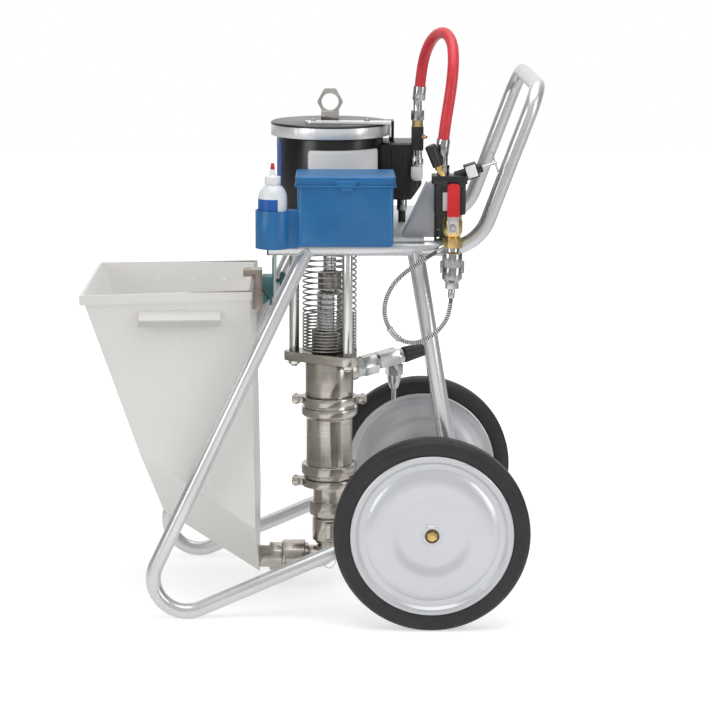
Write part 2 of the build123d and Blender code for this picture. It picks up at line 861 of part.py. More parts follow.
with BuildPart() as outlet_housing:
    turned(
        pump,
        (0, joint_top),
        (ferrule_r, joint_top),
        (ferrule_r, joint_top + ferrule_t),
        (under_clamp_r, joint_top + ferrule_t),
        (under_clamp_r, joint_top + clamp_h / 2),
        (housing_r, joint_top + clamp_h / 2 + 1),
        (housing_r, flange_low),
        (0, flange_low),
    )
    disc(branch, boss_r, housing_r / 2, boss_end)
    disc(branch, branch_bore, 0, boss_end, mode=Mode.SUBTRACT)
    disc(pump, bore_r, joint_top, flange_low, mode=Mode.SUBTRACT)
write("outlet_housing", outlet_housing)

# Two-bolt clamps: each is a pair of half rings over the ferrules of two castings.
ear_half = 12.0
bolt_out = clamp_ear - clamp_bolt_in

with BuildPart() as pipe_clamps:
    for joint in (joint_low, joint_top):
        centre = pump.offset(joint)
        disc(centre, clamp_r, -clamp_h / 2, clamp_h / 2)
        for side in (-1, 1):
            near, far = sorted((side * (clamp_r - 4), side * clamp_ear))
            block(near, far, -ear_half, ear_half, -clamp_h / 2, clamp_h / 2, Mode.ADD, centre)
        fillet(pipe_clamps.edges().filter_by(Axis.Y).filter_by_position(Axis.Z, joint - clamp_h, joint + clamp_h), radius=5)
        disc(centre, under_clamp_r + clamp_gap, -clamp_h / 2, clamp_h / 2, mode=Mode.SUBTRACT)
        disc(centre, ferrule_r + clamp_gap, -ferrule_t, ferrule_t, mode=Mode.SUBTRACT)
        block(-90, 90, -clamp_gap, clamp_gap, -clamp_h, clamp_h, Mode.SUBTRACT, centre)
        for side in (-1, 1):
            with Locations((pump_x + side * bolt_out, 0, joint)):
                Cylinder(clamp_bolt_r + 0.2, 2 * ear_half, rotation=(90, 0, 0), mode=Mode.SUBTRACT)

with BuildPart() as clamp_bolts:
    for joint in (joint_low, joint_top):
        for side in (-1, 1):
            bolt = Plane(origin=(pump_x + side * bolt_out, 0, joint), x_dir=(0, 0, 1), z_dir=(0, -1, 0))
            disc(bolt, clamp_bolt_r, -ear_half - 12, ear_half + 4)
            for low, high in ((ear_half, ear_half + 1.5), (-ear_half - 1.5, -ear_half)):
                disc(bolt, clamp_nut_flats / 2 + 1, low, high)
            hexagon(bolt, clamp_nut_flats, ear_half + 1.5, ear_half + 8)
            hexagon(bolt, clamp_nut_flats, -ear_half - 9, -ear_half - 1.5)
write("pipe_clamps", pipe_clamps, clamp_bolts)

# Three-cornered flange: the outline is drawn tight round the hub and a lobe at each tie rod.
with BuildPart() as pump_flange:
    with BuildSketch(pump.offset(flange_low)):
        Circle(flange_hub_r)
        with PolarLocations(rod_circle, 3, start_angle=180):
            Circle(lobe_r)
        make_hull()
    extrude(amount=flange_t)
    fillet(pump_flange.edges().group_by(Axis.Z)[-1], radius=1.5)
    disc(pump, packing_r, flange_low + packing_lip, flange_top, mode=Mode.SUBTRACT)
    disc(pump, plunger_r + 1, flange_low, flange_top, mode=Mode.SUBTRACT)
    for x, y in ring_of_three(rod_circle):
        disc(Plane(origin=(x, y, 0)), tie_stud_r, flange_low, flange_top, mode=Mode.SUBTRACT)
write("pump_flange", pump_flange)

with BuildPart() as throat_packing:
    disc(pump, packing_r, flange_low + packing_lip, flange_top)
    disc(pump, plunger_r + running_gap, flange_low, flange_top, mode=Mode.SUBTRACT)
write("throat_packing", throat_packing)

with BuildPart() as wet_cup:
    disc(pump, wet_cup_r, flange_top, flange_top + wet_cup_h)
    disc(pump, wet_cup_r - wet_cup_wall, flange_top + 5, flange_top + wet_cup_h, mode=Mode.SUBTRACT)
    disc(pump, plunger_r + 1, flange_top, flange_top + 5, mode=Mode.SUBTRACT)
write("wet_cup", wet_cup)

with BuildPart() as tie_rods:
    for x, y in ring_of_three(rod_circle):
        post = Plane(origin=(x, y, 0))
        disc(post, tie_rod_r, flange_top, motor_low)
        disc(post, tie_stud_r, flange_low - nut_h, flange_top)
        disc(post, tie_stud_r, motor_low, motor_low + motor_base_t - 5)

with BuildPart() as tie_rod_nuts:
    for x, y in ring_of_three(rod_circle):
        post = Plane(origin=(x, y, 0))
        hexagon(post, nut_flats, flange_low - nut_h, flange_low)
        disc(post, tie_stud_r, flange_low - nut_h, flange_low, mode=Mode.SUBTRACT)
        turned(
            post,
            (0, flange_low - nut_h),
            (tie_stud_r, flange_low - nut_h),
            (tie_stud_r, flange_low - nut_h - stud_end + 2),
            (tie_stud_r - 2, flange_low - nut_h - stud_end),
            (0, flange_low - nut_h - stud_end),
        )
write("tie_rods", tie_rods, tie_rod_nuts)

# Wire guard round the moving rod: tight turns by the flange, open turns above.
guard_low = flange_top + guard_wire / 2
tight_h = guard_tight_turns * guard_tight_pitch
open_turns = round((motor_low - guard_wire / 2 - guard_low - tight_h) / guard_pitch)
open_h = motor_low - guard_wire / 2 - guard_low - tight_h

with BuildPart() as coil_guard:
    for low, height, pitch in (
        (guard_low, tight_h, guard_tight_pitch),
        (guard_low + tight_h, open_h, open_h / open_turns),
    ):
        with BuildLine() as run:
            Helix(pitch, height, guard_r, center=(pump_x, 0, low))
        with BuildSketch(Plane(origin=(pump_x + guard_r, 0, low), x_dir=(1, 0, 0), z_dir=(0, 1, 0))) as wire:
            Rectangle(guard_wire, guard_wire)
        sweep(wire.sketch, path=run.line, is_frenet=True)
write("coil_guard", coil_guard)

# ------------------------------------------------------------------ moving rod
piston_low = stop_z + stop_bar_r + half_stroke + 4
cage_low = piston_low + piston_seat_h
piston_ball_z = cage_low + math.sqrt(piston_ball_r**2 - piston_seat_r**2) + ball_gap
cage_top = piston_ball_z + piston_ball_r + ball_lift + ball_gap
coupling_low = deck_top - coupling_drop - coupling_h
plunger_top = coupling_low - 3
air_piston_low = (barrel_low + motor_top - air_piston_t) / 2

with BuildPart() as pump_piston:
    disc(pump, bore_r - running_gap, piston_low, piston_low + piston_h)
    disc(pump, plunger_r, piston_low + piston_h, cage_top)
    disc(pump, piston_seat_r, piston_low, cage_low, mode=Mode.SUBTRACT)
    disc(pump, piston_ball_r + 1, cage_low, cage_top, mode=Mode.SUBTRACT)
    for angle in (45, 135):
        with Locations((pump_x, 0, (piston_low + piston_h + cage_top) / 2)):
            Cylinder(4, 2 * plunger_r + 4, rotation=(90, 0, angle), mode=Mode.SUBTRACT)
write("pump_piston", pump_piston)

with BuildPart() as piston_ball:
    with Locations((pump_x, 0, piston_ball_z)):
        Sphere(piston_ball_r)
write("piston_ball", piston_ball)

with BuildPart() as displacement_rod:
    disc(pump, plunger_r, cage_top, plunger_top - 4)
    turned(
        pump,
        (0, plunger_top - 4),
        (plunger_r, plunger_top - 4),
        (plunger_r - 4, plunger_top),
        (plunger_neck_r, plunger_top),
        (plunger_neck_r, coupling_low + 6),
        (plunger_neck_r + 4, coupling_low + 6),
        (plunger_neck_r + 4, coupling_low + 14),
        (0, coupling_low + 14),
    )
write("displacement_rod", displacement_rod)

with BuildPart() as coupling_collar:
    disc(pump, coupling_r, coupling_low, coupling_low + coupling_h)
    fillet(coupling_collar.edges().filter_by(GeomType.CIRCLE), radius=2)
    disc(pump, plunger_neck_r, coupling_low, coupling_low + 6, mode=Mode.SUBTRACT)
    disc(pump, plunger_neck_r + 4, coupling_low + 6, coupling_low + 14, mode=Mode.SUBTRACT)
    disc(pump, motor_rod_r, coupling_low + 14, coupling_low + coupling_h, mode=Mode.SUBTRACT)
write("coupling_collar", coupling_collar)

with BuildPart() as motor_rod:
    disc(pump, motor_rod_r, coupling_low + 14, air_piston_low)

with BuildPart() as air_piston:
    disc(pump, barrel_r - barrel_wall - running_gap, air_piston_low, air_piston_low + air_piston_t)
write("air_piston", air_piston, motor_rod)

# ------------------------------------------------------------------ air motor
with BuildPart() as motor_base:
    disc(pump, barrel_r + 6, motor_low, barrel_low)
    chamfer(motor_base.faces().sort_by(Axis.Z)[-1].edges(), length=2)
    disc(pump, motor_rod_r + running_gap, motor_low, barrel_low, mode=Mode.SUBTRACT)
    for x, y in ring_of_three(rod_circle):
        disc(Plane(origin=(x, y, 0)), tie_stud_r, motor_low, barrel_low - 5, mode=Mode.SUBTRACT)
write("motor_base", motor_base)

with BuildPart() as motor_barrel:
    disc(pump, barrel_r, barrel_low, motor_top)
    disc(pump, barrel_r - barrel_wall, barrel_low, motor_top, mode=Mode.SUBTRACT)
write("motor_barrel", motor_barrel)

# The cover's rim lies on the band; on the valve's side it runs out into a square shoulder.
rim_low = cover_top - cover_rim
shoulder_half = 42.0
shoulder_low = valve_block_low + valve_block_h
shoulder_out = 136.0  # from the pump axis
strap_mid = -62.0
strap_left = -52.0
strap_right = 128.0

with BuildPart() as motor_cover:
    turned(
        pump,
        (0, motor_top),
        (barrel_r + 6, motor_top),
        (barrel_r + 6, rim_low),
        (band_r + 0.5, rim_low),
        (band_r + 0.5, cover_top - 2),
        (band_r - 2, cover_top),
        (0, cover_top),
    )
    block(90, shoulder_out, 0, shoulder_half, rim_low, cover_top, Mode.ADD, pump)
    block(shoulder_out - 10, shoulder_out, 0, shoulder_half, shoulder_low, rim_low, Mode.ADD, pump)
write("motor_cover", motor_cover)

# Band round the top of the barrel, with a strap over the cover that hooks down outside it.
with BuildPart() as cover_band:
    disc(pump, band_r, motor_top - 2, rim_low)
    disc(pump, barrel_r + 6, motor_top, rim_low, mode=Mode.SUBTRACT)
    disc(pump, barrel_r, motor_top - 2, motor_top, mode=Mode.SUBTRACT)
    disc(pump, band_r - band_t, motor_top + 1, rim_low - 2, mode=Mode.SUBTRACT)

with BuildPart() as cover_strap:
    block(
        strap_left,
        strap_right,
        strap_mid - strap_w / 2,
        strap_mid + strap_w / 2,
        cover_top,
        cover_top + strap_t,
        Mode.ADD,
        pump,
    )
    fillet(cover_strap.edges().filter_by(Axis.Z).group_by(Axis.X)[0], radius=strap_w / 2 - 1)
    block(
        strap_right - 3,
        strap_right,
        strap_mid - strap_w / 2,
        strap_mid + strap_w / 2,
        motor_top,
        cover_top,
        Mode.ADD,
        pump,
    )
write("cover_band", cover_band, cover_strap)

# Hexagonal eye on top of the motor, the place for a hoist hook.
eye_z = cover_top + eye_lift

with BuildPart() as lifting_eye:
    block(pump_x - eye_base / 2, pump_x + eye_base / 2, -15, 15, cover_top, eye_z - eye_hole_r - 2)
    with BuildSketch(Plane(origin=(pump_x, 0, eye_z), x_dir=(1, 0, 0), z_dir=(0, -1, 0))):
        with BuildLine():
            Polyline(
                (-eye_half, 0),
                (-12, eye_rise),
                (12, eye_rise),
                (eye_half, 0),
                (15, -eye_rise + 4),
                (-15, -eye_rise + 4),
                close=True,
            )
        make_face()
        fillet(vertices(), radius=5)
    extrude(amount=eye_t / 2, both=True)
    with Locations((pump_x, 0, eye_z)):
        Cylinder(eye_hole_r, eye_base, rotation=(90, 0, 0), mode=Mode.SUBTRACT)
write("lifting_eye", lifting_eye)

# Valve block on the side of the barrel: saddle-backed, rounded upright edges.
valve_block = Plane(origin=(axle_x - 17, 20, valve_block_low))
block_reach = 120.0
block_w = 110.0

with BuildPart() as air_valve_housing:
    block(-block_reach, 0, -block_w / 2, block_w / 2, 0, valve_block_h, Mode.ADD, valve_block)
    fillet(air_valve_housing.edges().filter_by(Axis.Z), radius=14)
    chamfer(air_valve_housing.faces().filter_by(Axis.Z).edges(), length=4)
    disc(pump, barrel_r, barrel_low, motor_top, mode=Mode.SUBTRACT)
    # the lower outer corner is cut away, and cooling grooves run down the front
    with BuildSketch(Plane(origin=valve_block.origin, x_dir=(1, 0, 0), z_dir=(0, -1, 0))) as corner:
        with BuildLine():
            Polyline((1, -1), (1, 34), (-24, -1), close=True)
        make_face()
    extrude(corner.sketch, amount=block_w, both=True, mode=Mode.SUBTRACT)
    for i in range(4):
        left = -68 + 9 * i
        block(left, left + 3, -block_w / 2, -block_w / 2 + 2.5, 16, valve_block_h - 14, Mode.SUBTRACT, valve_block)
write("air_valve_housing", air_valve_housing)

# Air inlet in front of the valve block, with a filter bowl hung under it.
inlet = Plane(origin=(axle_x - 28, -50, 0))
inlet_low = 968.0
inlet_top = 1018.0
inlet_half = 12.5
bowl_low = 904.0
adapter_top = inlet_top + 13
barb_z = inlet_low + 29

with BuildPart() as air_manifold:
    block(-inlet_half, inlet_half, -inlet_half, inlet_half, inlet_low, inlet_top, Mode.ADD, inlet)
    hexagon(inlet, 20, inlet_top, adapter_top)
    turned(
        inlet,
        (0, bowl_low),
        (9, bowl_low),
        (13, bowl_low + 6),
        (13, bowl_low + 26),
        (12, bowl_low + 28),
        (12, bowl_low + 32),
        (13.5, bowl_low + 34),
        (13.5, bowl_low + 46),
        (11, bowl_low + 48),
        (11, inlet_low),
        (0, inlet_low),
    )
    block(-8, 8, 0, inlet_half + 4, inlet_low - 28, inlet_low - 12, Mode.ADD, inlet)
    # quick-connect barb on the operator's side
    barb = Plane(origin=(inlet.origin.X, inlet.origin.Y, barb_z), x_dir=(0, 0, 1), z_dir=(1, -1, 0))
    disc(barb, 5, 0, inlet_half + 6)
    disc(barb, 3, inlet_half + 6, inlet_half + 14)
    add(air_valve_housing.part, mode=Mode.SUBTRACT)

# Exhaust fitting between the valve block's foot and the deck.
exhaust = Plane(origin=(axle_x - 58, -5, 0))

with BuildPart() as exhaust_fitting:
    disc(exhaust, 8, deck_top, 835)
    disc(exhaust, 11, 835, valve_block.origin.Z)
write("air_manifold", air_manifold, exhaust_fitting)

# ------------------------------------------------------------------ fluid outlet branch
tee = Plane(origin=(branch.origin + branch.z_dir * tee_at), x_dir=branch.x_dir, z_dir=(0, 0, 1))

with BuildPart() as outlet_fittings:
    hexagon(branch, 38, boss_end, 80)
    hexagon(branch, 42, 80, 113)
    disc(branch, 15, 113, valve_start)
    disc(branch, 16, valve_start, valve_end)
    block(-17, 17, -12, 19, valve_start - 10, valve_end - 12, Mode.ADD, branch)
    disc(tee, 15, -tee_nut_low + 20, 0)
    hexagon(tee, tee_nut_flats, -tee_nut_low, -tee_nut_low + 24)
    turned(
        tee,
        (0, -tee_nut_low),
        (16, -tee_nut_low),
        (14, -tee_nut_low - 16),
        (9, -tee_collar_low),
        (0, -tee_collar_low),
    )
    disc(tee, drain_r, -tee_end, -tee_collar_low)
    disc(branch, branch_bore, 0, valve_start, mode=Mode.SUBTRACT)
    disc(branch, 6 + running_gap, valve_end - 20, valve_end, mode=Mode.SUBTRACT)
write("outlet_fittings", outlet_fittings)

with BuildPart() as drain_knob:
    disc(branch, 6, valve_end - 18, valve_end + knob_gap)
    turned(
        branch,
        (0, valve_end + knob_gap),
        (knob_r - 3, valve_end + knob_gap),
        (knob_r, valve_end + knob_gap + 3),
        (knob_r, valve_end + 12),
        (knob_r - 3, knob_end - 4),
        (knob_r - 7, knob_end),
        (0, knob_end),
    )
    with BuildSketch(branch.offset(valve_end + knob_gap + 6)) as flutes:
        with PolarLocations(knob_r + 0.5, 10):
            Circle(2.5)
    extrude(flutes.sketch, amount=knob_end - valve_end, mode=Mode.SUBTRACT)
write("drain_knob", drain_knob)

# ------------------------------------------------------------------ air controls
regulator_x = axle_x - 1.0

with BuildPart() as regulator_body:
    block(regulator_x, regulator_x + regulator_w, control_rear - regulator_d, control_rear, regulator_low, regulator_top)
    fillet(regulator_body.edges().filter_by(Axis.Z), radius=8)
    chamfer(regulator_body.faces().filter_by(Axis.Z).edges(), length=2)
    window = control_rear - regulator_d
    block(regulator_x + 16, regulator_x + 29, window, window + 2, 872, 910, mode=Mode.SUBTRACT)
write("regulator_body", regulator_body)

with BuildPart() as regulator_head:
    block(
        regulator_x - 5,
        regulator_x + regulator_w + 3,
        control_rear - regulator_d + 1,
        control_rear - 3,
        regulator_top,
        head_top,
    )
    fillet(regulator_head.edges().filter_by(Axis.Z), radius=6)
    disc(adjuster, 9, 0, 22)
    block(-15, 15, -15, 15, 22, 48, Mode.ADD, adjuster)
    disc(adjuster, 10, 48, 58)
    disc(adjuster, adjuster_rod_r + running_gap, 20, 60, mode=Mode.SUBTRACT)

with BuildPart() as tee_handle:
    disc(adjuster, adjuster_rod_r, 22, 90)
    with Locations(adjuster.location * Location((0, 0, 86))):
        Cylinder(2, 46, rotation=(90, 0, 0))
write("tee_handle", tee_handle)

relief = Plane(
    origin=(axle_x + 14.5, control_mid - 19.5, head_top),
    x_dir=(0, 1, 0),
    z_dir=(-math.sin(math.radians(relief_lean)), 0, math.cos(math.radians(relief_lean))),
)

with BuildPart() as relief_valve:
    hexagon(relief, 12, -6, 15)
    disc(relief, 8.5, 15, 22)
    turned(relief, (0, 22), (relief_r, 22), (relief_r, 65), (relief_r - 2, 67), (0, 67))
    block(axle_x - 40, axle_x + 60, -400, -200, 0, head_top, mode=Mode.SUBTRACT)
write("regulator_head", regulator_head, relief_valve)

ball_valve = Plane(origin=(axle_x + valve_x, valve_y, 0))
stem = Plane(origin=(axle_x + valve_x, valve_y, valve_stem_z), x_dir=(1, 0, 0), z_dir=(0, -1, 0))

with BuildPart() as ball_valve_body:
    hexagon(ball_valve, 36, valve_low, valve_low + 20)
    turned(
        ball_valve,
        (0, valve_low + 20),
        (14, valve_low + 20),
        (20, valve_stem_z - 12),
        (20, valve_stem_z + 10),
        (15, regulator_low),
        (0, regulator_low),
    )
    hexagon(ball_valve, 32, regulator_low - 10, regulator_low)
    disc(stem, 9, 0, 21)
    disc(stem, 4.5, 21, 30)
write("ball_valve_body", ball_valve_body)

with BuildPart() as ball_valve_lever:
    with BuildSketch(stem.offset(21.3)):
        with BuildLine():
            Polyline(
                (-11, -11),
                (11, -11),
                (11, 12),
                (lever_w / 2, 20),
                (lever_w / 2, lever_length),
                (-lever_w / 2, lever_length),
                (-lever_w / 2, 20),
                (-11, 12),
                close=True,
            )
        make_face()
        Circle(4.5 + running_gap, mode=Mode.SUBTRACT)
    extrude(amount=4)
    fillet(ball_valve_lever.edges().filter_by(Axis.Y).group_by(Axis.Z)[-1], radius=8)
write("ball_valve_lever", ball_valve_lever)

claw = Plane(origin=(axle_x + valve_x, valve_y, 0))
claw_split = claw_low + 44

with BuildPart() as claw_coupling:
    turned(
        claw,
        (0, valve_low),
        (14, valve_low),
        (14, claw_split + 32),
        (claw_r, claw_split + 28),
        (claw_r, claw_split + 0.3),
        (0, claw_split + 0.3),
    )
    turned(
        claw,
        (0, claw_split),
        (claw_r, claw_split),
        (claw_r, claw_low + 20),
        (14, claw_low + 12),
        (14, claw_low),
        (0, claw_low),
    )
    for side in (-1, 1):
        near, far = sorted((side * 10, side * (claw_r + 4)))
        block(near, far, -6, 6, claw_split - 12, claw_split + 12, Mode.ADD, claw)
write("claw_coupling", claw_coupling)

# ------------------------------------------------------------------ brackets of the controls
fold_depth = 45.0

with BuildPart() as control_brackets:
    upright = Plane(origin=(axle_x, control_rear, 0), x_dir=(1, 0, 0), z_dir=(0, -1, 0))
    with BuildSketch(upright.offset(-plate_t)):
        with BuildLine():
            Polyline(
                (1, rail_z),
                (24, rail_z),
                (24, rail_top + 8),
                (57, rail_top + 15),
                (57, regulator_low + 40),
                (1, regulator_low + 40),
                close=True,
            )
        make_face()
        with Locations((9, rail_top + 6), (9, rail_top + 22)):
            Circle(3, mode=Mode.SUBTRACT)
    extrude(amount=plate_t)
    rail_bodies(Mode.SUBTRACT)
    with BuildSketch(upright.offset(-2 * plate_t)):
        with BuildLine():
            Polyline(
                (-64, deck_top),
                (30, deck_top),
                (30, deck_top + 50),
                (-1, deck_top + 119),
                (-14, deck_top + 111),
                close=True,
            )
        make_face()
    extrude(amount=plate_t)
    # edge of the gusset, folded back along its slope
    with BuildSketch(upright.offset(-2 * plate_t)):
        with BuildLine():
            Polyline(
                (-64, deck_top),
                (-60, deck_top),
                (-11, deck_top + 109),
                (-14, deck_top + 111),
                close=True,
            )
        make_face()
    extrude(amount=-fold_depth)
write("control_brackets", control_brackets)

# ------------------------------------------------------------------ toolbox on the deck
box_x0 = axle_x - box_left
box_x1 = box_x0 + box_width
box_y0 = box_front_y
body_x0 = box_x0 + lid_proud
body_x1 = box_x1 - lid_proud
body_y0 = box_y0 + lid_proud / 2
box_y1 = box_front_y + box_depth
lid_low = box_top - lid_h
skirt_back = -side_y - tube_r - 2
hinge_y = box_y1 + hinge_r + 0.3
knuckle = 30.0
lug = 10.0
knuckles = [box_x0 + 30, box_x1 - 30 - knuckle]

with BuildPart() as toolbox_body:
    with BuildSketch(Plane(origin=(body_x0, 0, 0), x_dir=(0, 1, 0), z_dir=(1, 0, 0))):
        with BuildLine():
            Polyline(
                (body_y0, box_skirt),
                (skirt_back, box_skirt),
                (skirt_back, deck_top),
                (box_y1, deck_top),
                (box_y1, lid_low),
                (body_y0, lid_low),
                close=True,
            )
        make_face()
    extrude(amount=body_x1 - body_x0)
    lowest = toolbox_body.faces().sort_by(Axis.Z)[0]
    fillet(lowest.edges().filter_by(Axis.Y), radius=box_corner - 2)
    uprights = toolbox_body.edges().filter_by(Axis.Z)
    fillet(uprights.filter_by_position(Axis.Y, body_y0 - 1, body_y0 + 1), radius=box_corner)
    fillet(toolbox_body.edges().filter_by(Axis.Z).filter_by_position(Axis.Y, box_y1 - 1, box_y1 + 1), radius=box_corner)
    offset(amount=-box_wall, openings=toolbox_body.faces().sort_by(Axis.Z)[-1])
    # hinge lugs, each side of the lid's knuckles, with their pins
    for x in knuckles:
        for low in (x - lug - 0.3, x + knuckle + 0.3):
            block(low, low + lug, box_y1 - 1, hinge_y, lid_low - hinge_r, lid_low - 0.5)
            with Locations((low + lug / 2, hinge_y, lid_low)):
                Cylinder(hinge_r, lug, rotation=(0, 90, 0))
        with Locations((x + knuckle / 2, hinge_y, lid_low)):
            Cylinder(hinge_pin_r, knuckle + lug, rotation=(0, 90, 0))
    # catch for the latch
    block(latch_x - 10, latch_x + 10, box_y0 - 2.5, body_y0, latch_low + 4, latch_low + 7)
    # bottle cup, on a web from the box's front left corner
    cup = Plane(origin=(axle_x - bottle_ahead, bottle_y, 0))
    block(cup.origin.X, body_x0 + 1, bottle_y - 14, bottle_y + 14, cup_low, cup_top)
    disc(cup, cup_r, cup_low, cup_top)
    disc(cup, cup_r - cup_wall, bottle_low, cup_top, mode=Mode.SUBTRACT)
write("toolbox_body", toolbox_body)

with BuildPart() as toolbox_lid:
    block(box_x0, box_x1, box_y0, box_y1, lid_low, box_top)
    fillet(toolbox_lid.edges().filter_by(Axis.Z), radius=box_corner)
    fillet(toolbox_lid.faces().sort_by(Axis.Z)[-1].edges(), radius=4)
    offset(amount=-box_wall, openings=toolbox_lid.faces().sort_by(Axis.Z)[0])
    for x in knuckles:
        block(x, x + knuckle, box_y1 - 1, hinge_y, lid_low + 0.5, lid_low + hinge_r)
        with Locations((x + knuckle / 2, hinge_y, lid_low)):
            Cylinder(hinge_r, knuckle, rotation=(0, 90, 0))
            Cylinder(hinge_pin_r + running_gap, knuckle, rotation=(0, 90, 0), mode=Mode.SUBTRACT)
    # ears and pin of the latch
    for side in (-1, 1):
        near, far = sorted((side * (latch_w / 2 + 0.4), side * (latch_w / 2 + 4)))
        block(latch_x + near, latch_x + far, box_y0 - 5.5, box_y0 + 1, latch_pin_z - 3, latch_pin_z + 3)
    with Locations((latch_x, box_y0 - 3, latch_pin_z)):
        Cylinder(1.5, latch_w + 4, rotation=(0, 90, 0))
write("toolbox_lid", toolbox_lid)

with BuildPart() as toolbox_latch:
    with BuildSketch(Plane(origin=(latch_x, box_y0 - 3, latch_pin_z), x_dir=(0, 1, 0), z_dir=(1, 0, 0))) as side_view:
        Circle(2.5)
        with BuildLine():
            Polyline(
                (-2.5, 0),
                (-2.5, latch_low - latch_pin_z + 2),
                (-4.5, latch_low - latch_pin_z),
                (-2.5, latch_low - latch_pin_z - 1),
                (-0.2, latch_low - latch_pin_z + 3),
                (-0.2, 0),
                close=True,
            )
        make_face()
        Circle(1.5 + running_gap, mode=Mode.SUBTRACT)
    extrude(amount=latch_w / 2, both=True)
    # shoulders, down to a narrower tab
    for side in (-1, 1):
        near, far = sorted((side * latch_tab_w / 2, side * (latch_w / 2 + 1)))
        block(latch_x + near, latch_x + far, box_y0 - 10, box_y0 + 10, latch_low - 2, latch_pin_z - 7, Mode.SUBTRACT)
write("toolbox_latch", toolbox_latch)

bottle_stand = Plane(origin=(axle_x - bottle_ahead, bottle_y, 0))

with BuildPart() as bottle:
    turned(
        bottle_stand,
        (0, bottle_low),
        (bottle_r - 3, bottle_low),
        (bottle_r, bottle_low + 3),
        (bottle_r, bottle_shoulder - 10),
        (bottle_r - 4, bottle_shoulder - 3),
        (12, bottle_shoulder + 4),
        (12, cap_low),
        (0, cap_low),
    )

with BuildPart() as bottle_cap:
    turned(
        bottle_stand,
        (0, cap_low),
        (14, cap_low),
        (14, cap_low + 15),
        (7, cap_low + 18),
        (2.5, nozzle_top - 6),
        (2.5, nozzle_top),
        (0, nozzle_top),
    )
write("bottle", bottle, bottle_cap)

# ------------------------------------------------------------------ hose and safety cable
# Routes are chosen by hand; each corner's arc is as large as its two runs allow.
hose_route = [
    (227.0, -50.0, 1102.4),
    (229.7, -52.0, 1135.9),
    (237.8, -75.0, 1179.1),
    (252.4, -115.0, 1211.5),
    (272.4, -170.0, 1224.1),
    (285.7, -215.0, 1204.7),
    (287.0, -250.0, 1170.9),
    (283.0, -268.0, 1128.3),
    (277.0, -275.0, 1086.8),
    (270.8, -276.0, 1048.7),
    (267.2, -275.0, 1014.5),
]
cable_route = [
    (285.5, -285.0, 691.8),
    (283.7, -287.0, 663.3),
    (269.6, -290.0, 634.8),
    (247.4, -292.0, 614.4),
    (216.9, -293.0, 599.0),
    (186.3, -293.0, 603.0),
    (163.8, -293.0, 622.7),
    (150.3, -293.0, 651.6),
    (150.1, -292.0, 682.5),
    (163.1, -292.0, 715.5),
    (185.2, -291.0, 740.2),
    (213.4, -290.0, 760.6),
    (237.0, -288.0, 775.8),
    (255.0, -286.0, 787.0),
]


def cord(route, radius):
    """Tube along straight runs joined by tangent arcs."""
    points = [Vector(*p) for p in route]
    radii = []
    for before, corner, after in zip(points, points[1:], points[2:]):
        turn_angle = math.radians((corner - before).get_angle(after - corner))
        shorter = min((corner - before).length, (after - corner).length)
        radii.append(0.45 * shorter / math.tan(turn_angle / 2))
    print("cord radii", [round(r) for r in radii])
    with BuildPart() as tube:
        with BuildLine() as run:
            FilletPolyline(*points, radius=radii)
        with BuildSketch(Plane(origin=run.line @ 0, z_dir=run.line % 0)):
            Circle(radius)
        sweep()
    length = sum(edge.length for edge in run.edges())
    print("cord length", round(length), "filled", tube.part.volume / (math.pi * radius**2 * length))
    return tube


def route_end(route, index, back):
    """Plane at one end of a route, looking outwards along its first or last run."""
    return Plane(origin=route[index], z_dir=Vector(*route[index]) - Vector(*route[back]))


air_hose = cord(hose_route, hose_r)
write("air_hose", air_hose)
safety_cable = cord(cable_route, cable_r)
write("safety_cable", safety_cable)

hose_start = route_end(hose_route, 0, 1)
hose_end = route_end(hose_route, -1, -2)
cable_start = route_end(cable_route, 0, 1)
cable_end = route_end(cable_route, -1, -2)
hose_foot = Plane(origin=(hose_route[-1][0], hose_route[-1][1], 0))
ferrule_h = 29.0
fitting_hex_h = 20.5
nipple_r = 9.0

with BuildPart() as hose_fittings:
    # crimped ferrules, and below each a nipple and a hexagon down to what it screws into
    disc(hose_start, hose_r + 2, 0, ferrule_h)
    disc(inlet, nipple_r, adapter_top + fitting_hex_h, hose_route[0][2] - ferrule_h + 3)
    hexagon(inlet, 24, adapter_top, adapter_top + fitting_hex_h)
    disc(hose_end, hose_r + 2, 0, ferrule_h + 3)
    disc(hose_foot, nipple_r, head_top + fitting_hex_h, hose_route[-1][2] - ferrule_h + 1)
    hexagon(hose_foot, 22, head_top, head_top + fitting_hex_h)

with BuildPart() as cable_ferrules:
    disc(cable_start, cable_r + 3, 0, 18)
    disc(cable_end, cable_r + 3, 0, 20)
    add(ball_valve_body.part, mode=Mode.SUBTRACT)
    add(claw_coupling.part, mode=Mode.SUBTRACT)
write("hose_fittings", hose_fittings, cable_ferrules)
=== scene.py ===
import json
import math

import bpy
from mathutils import Matrix, Vector


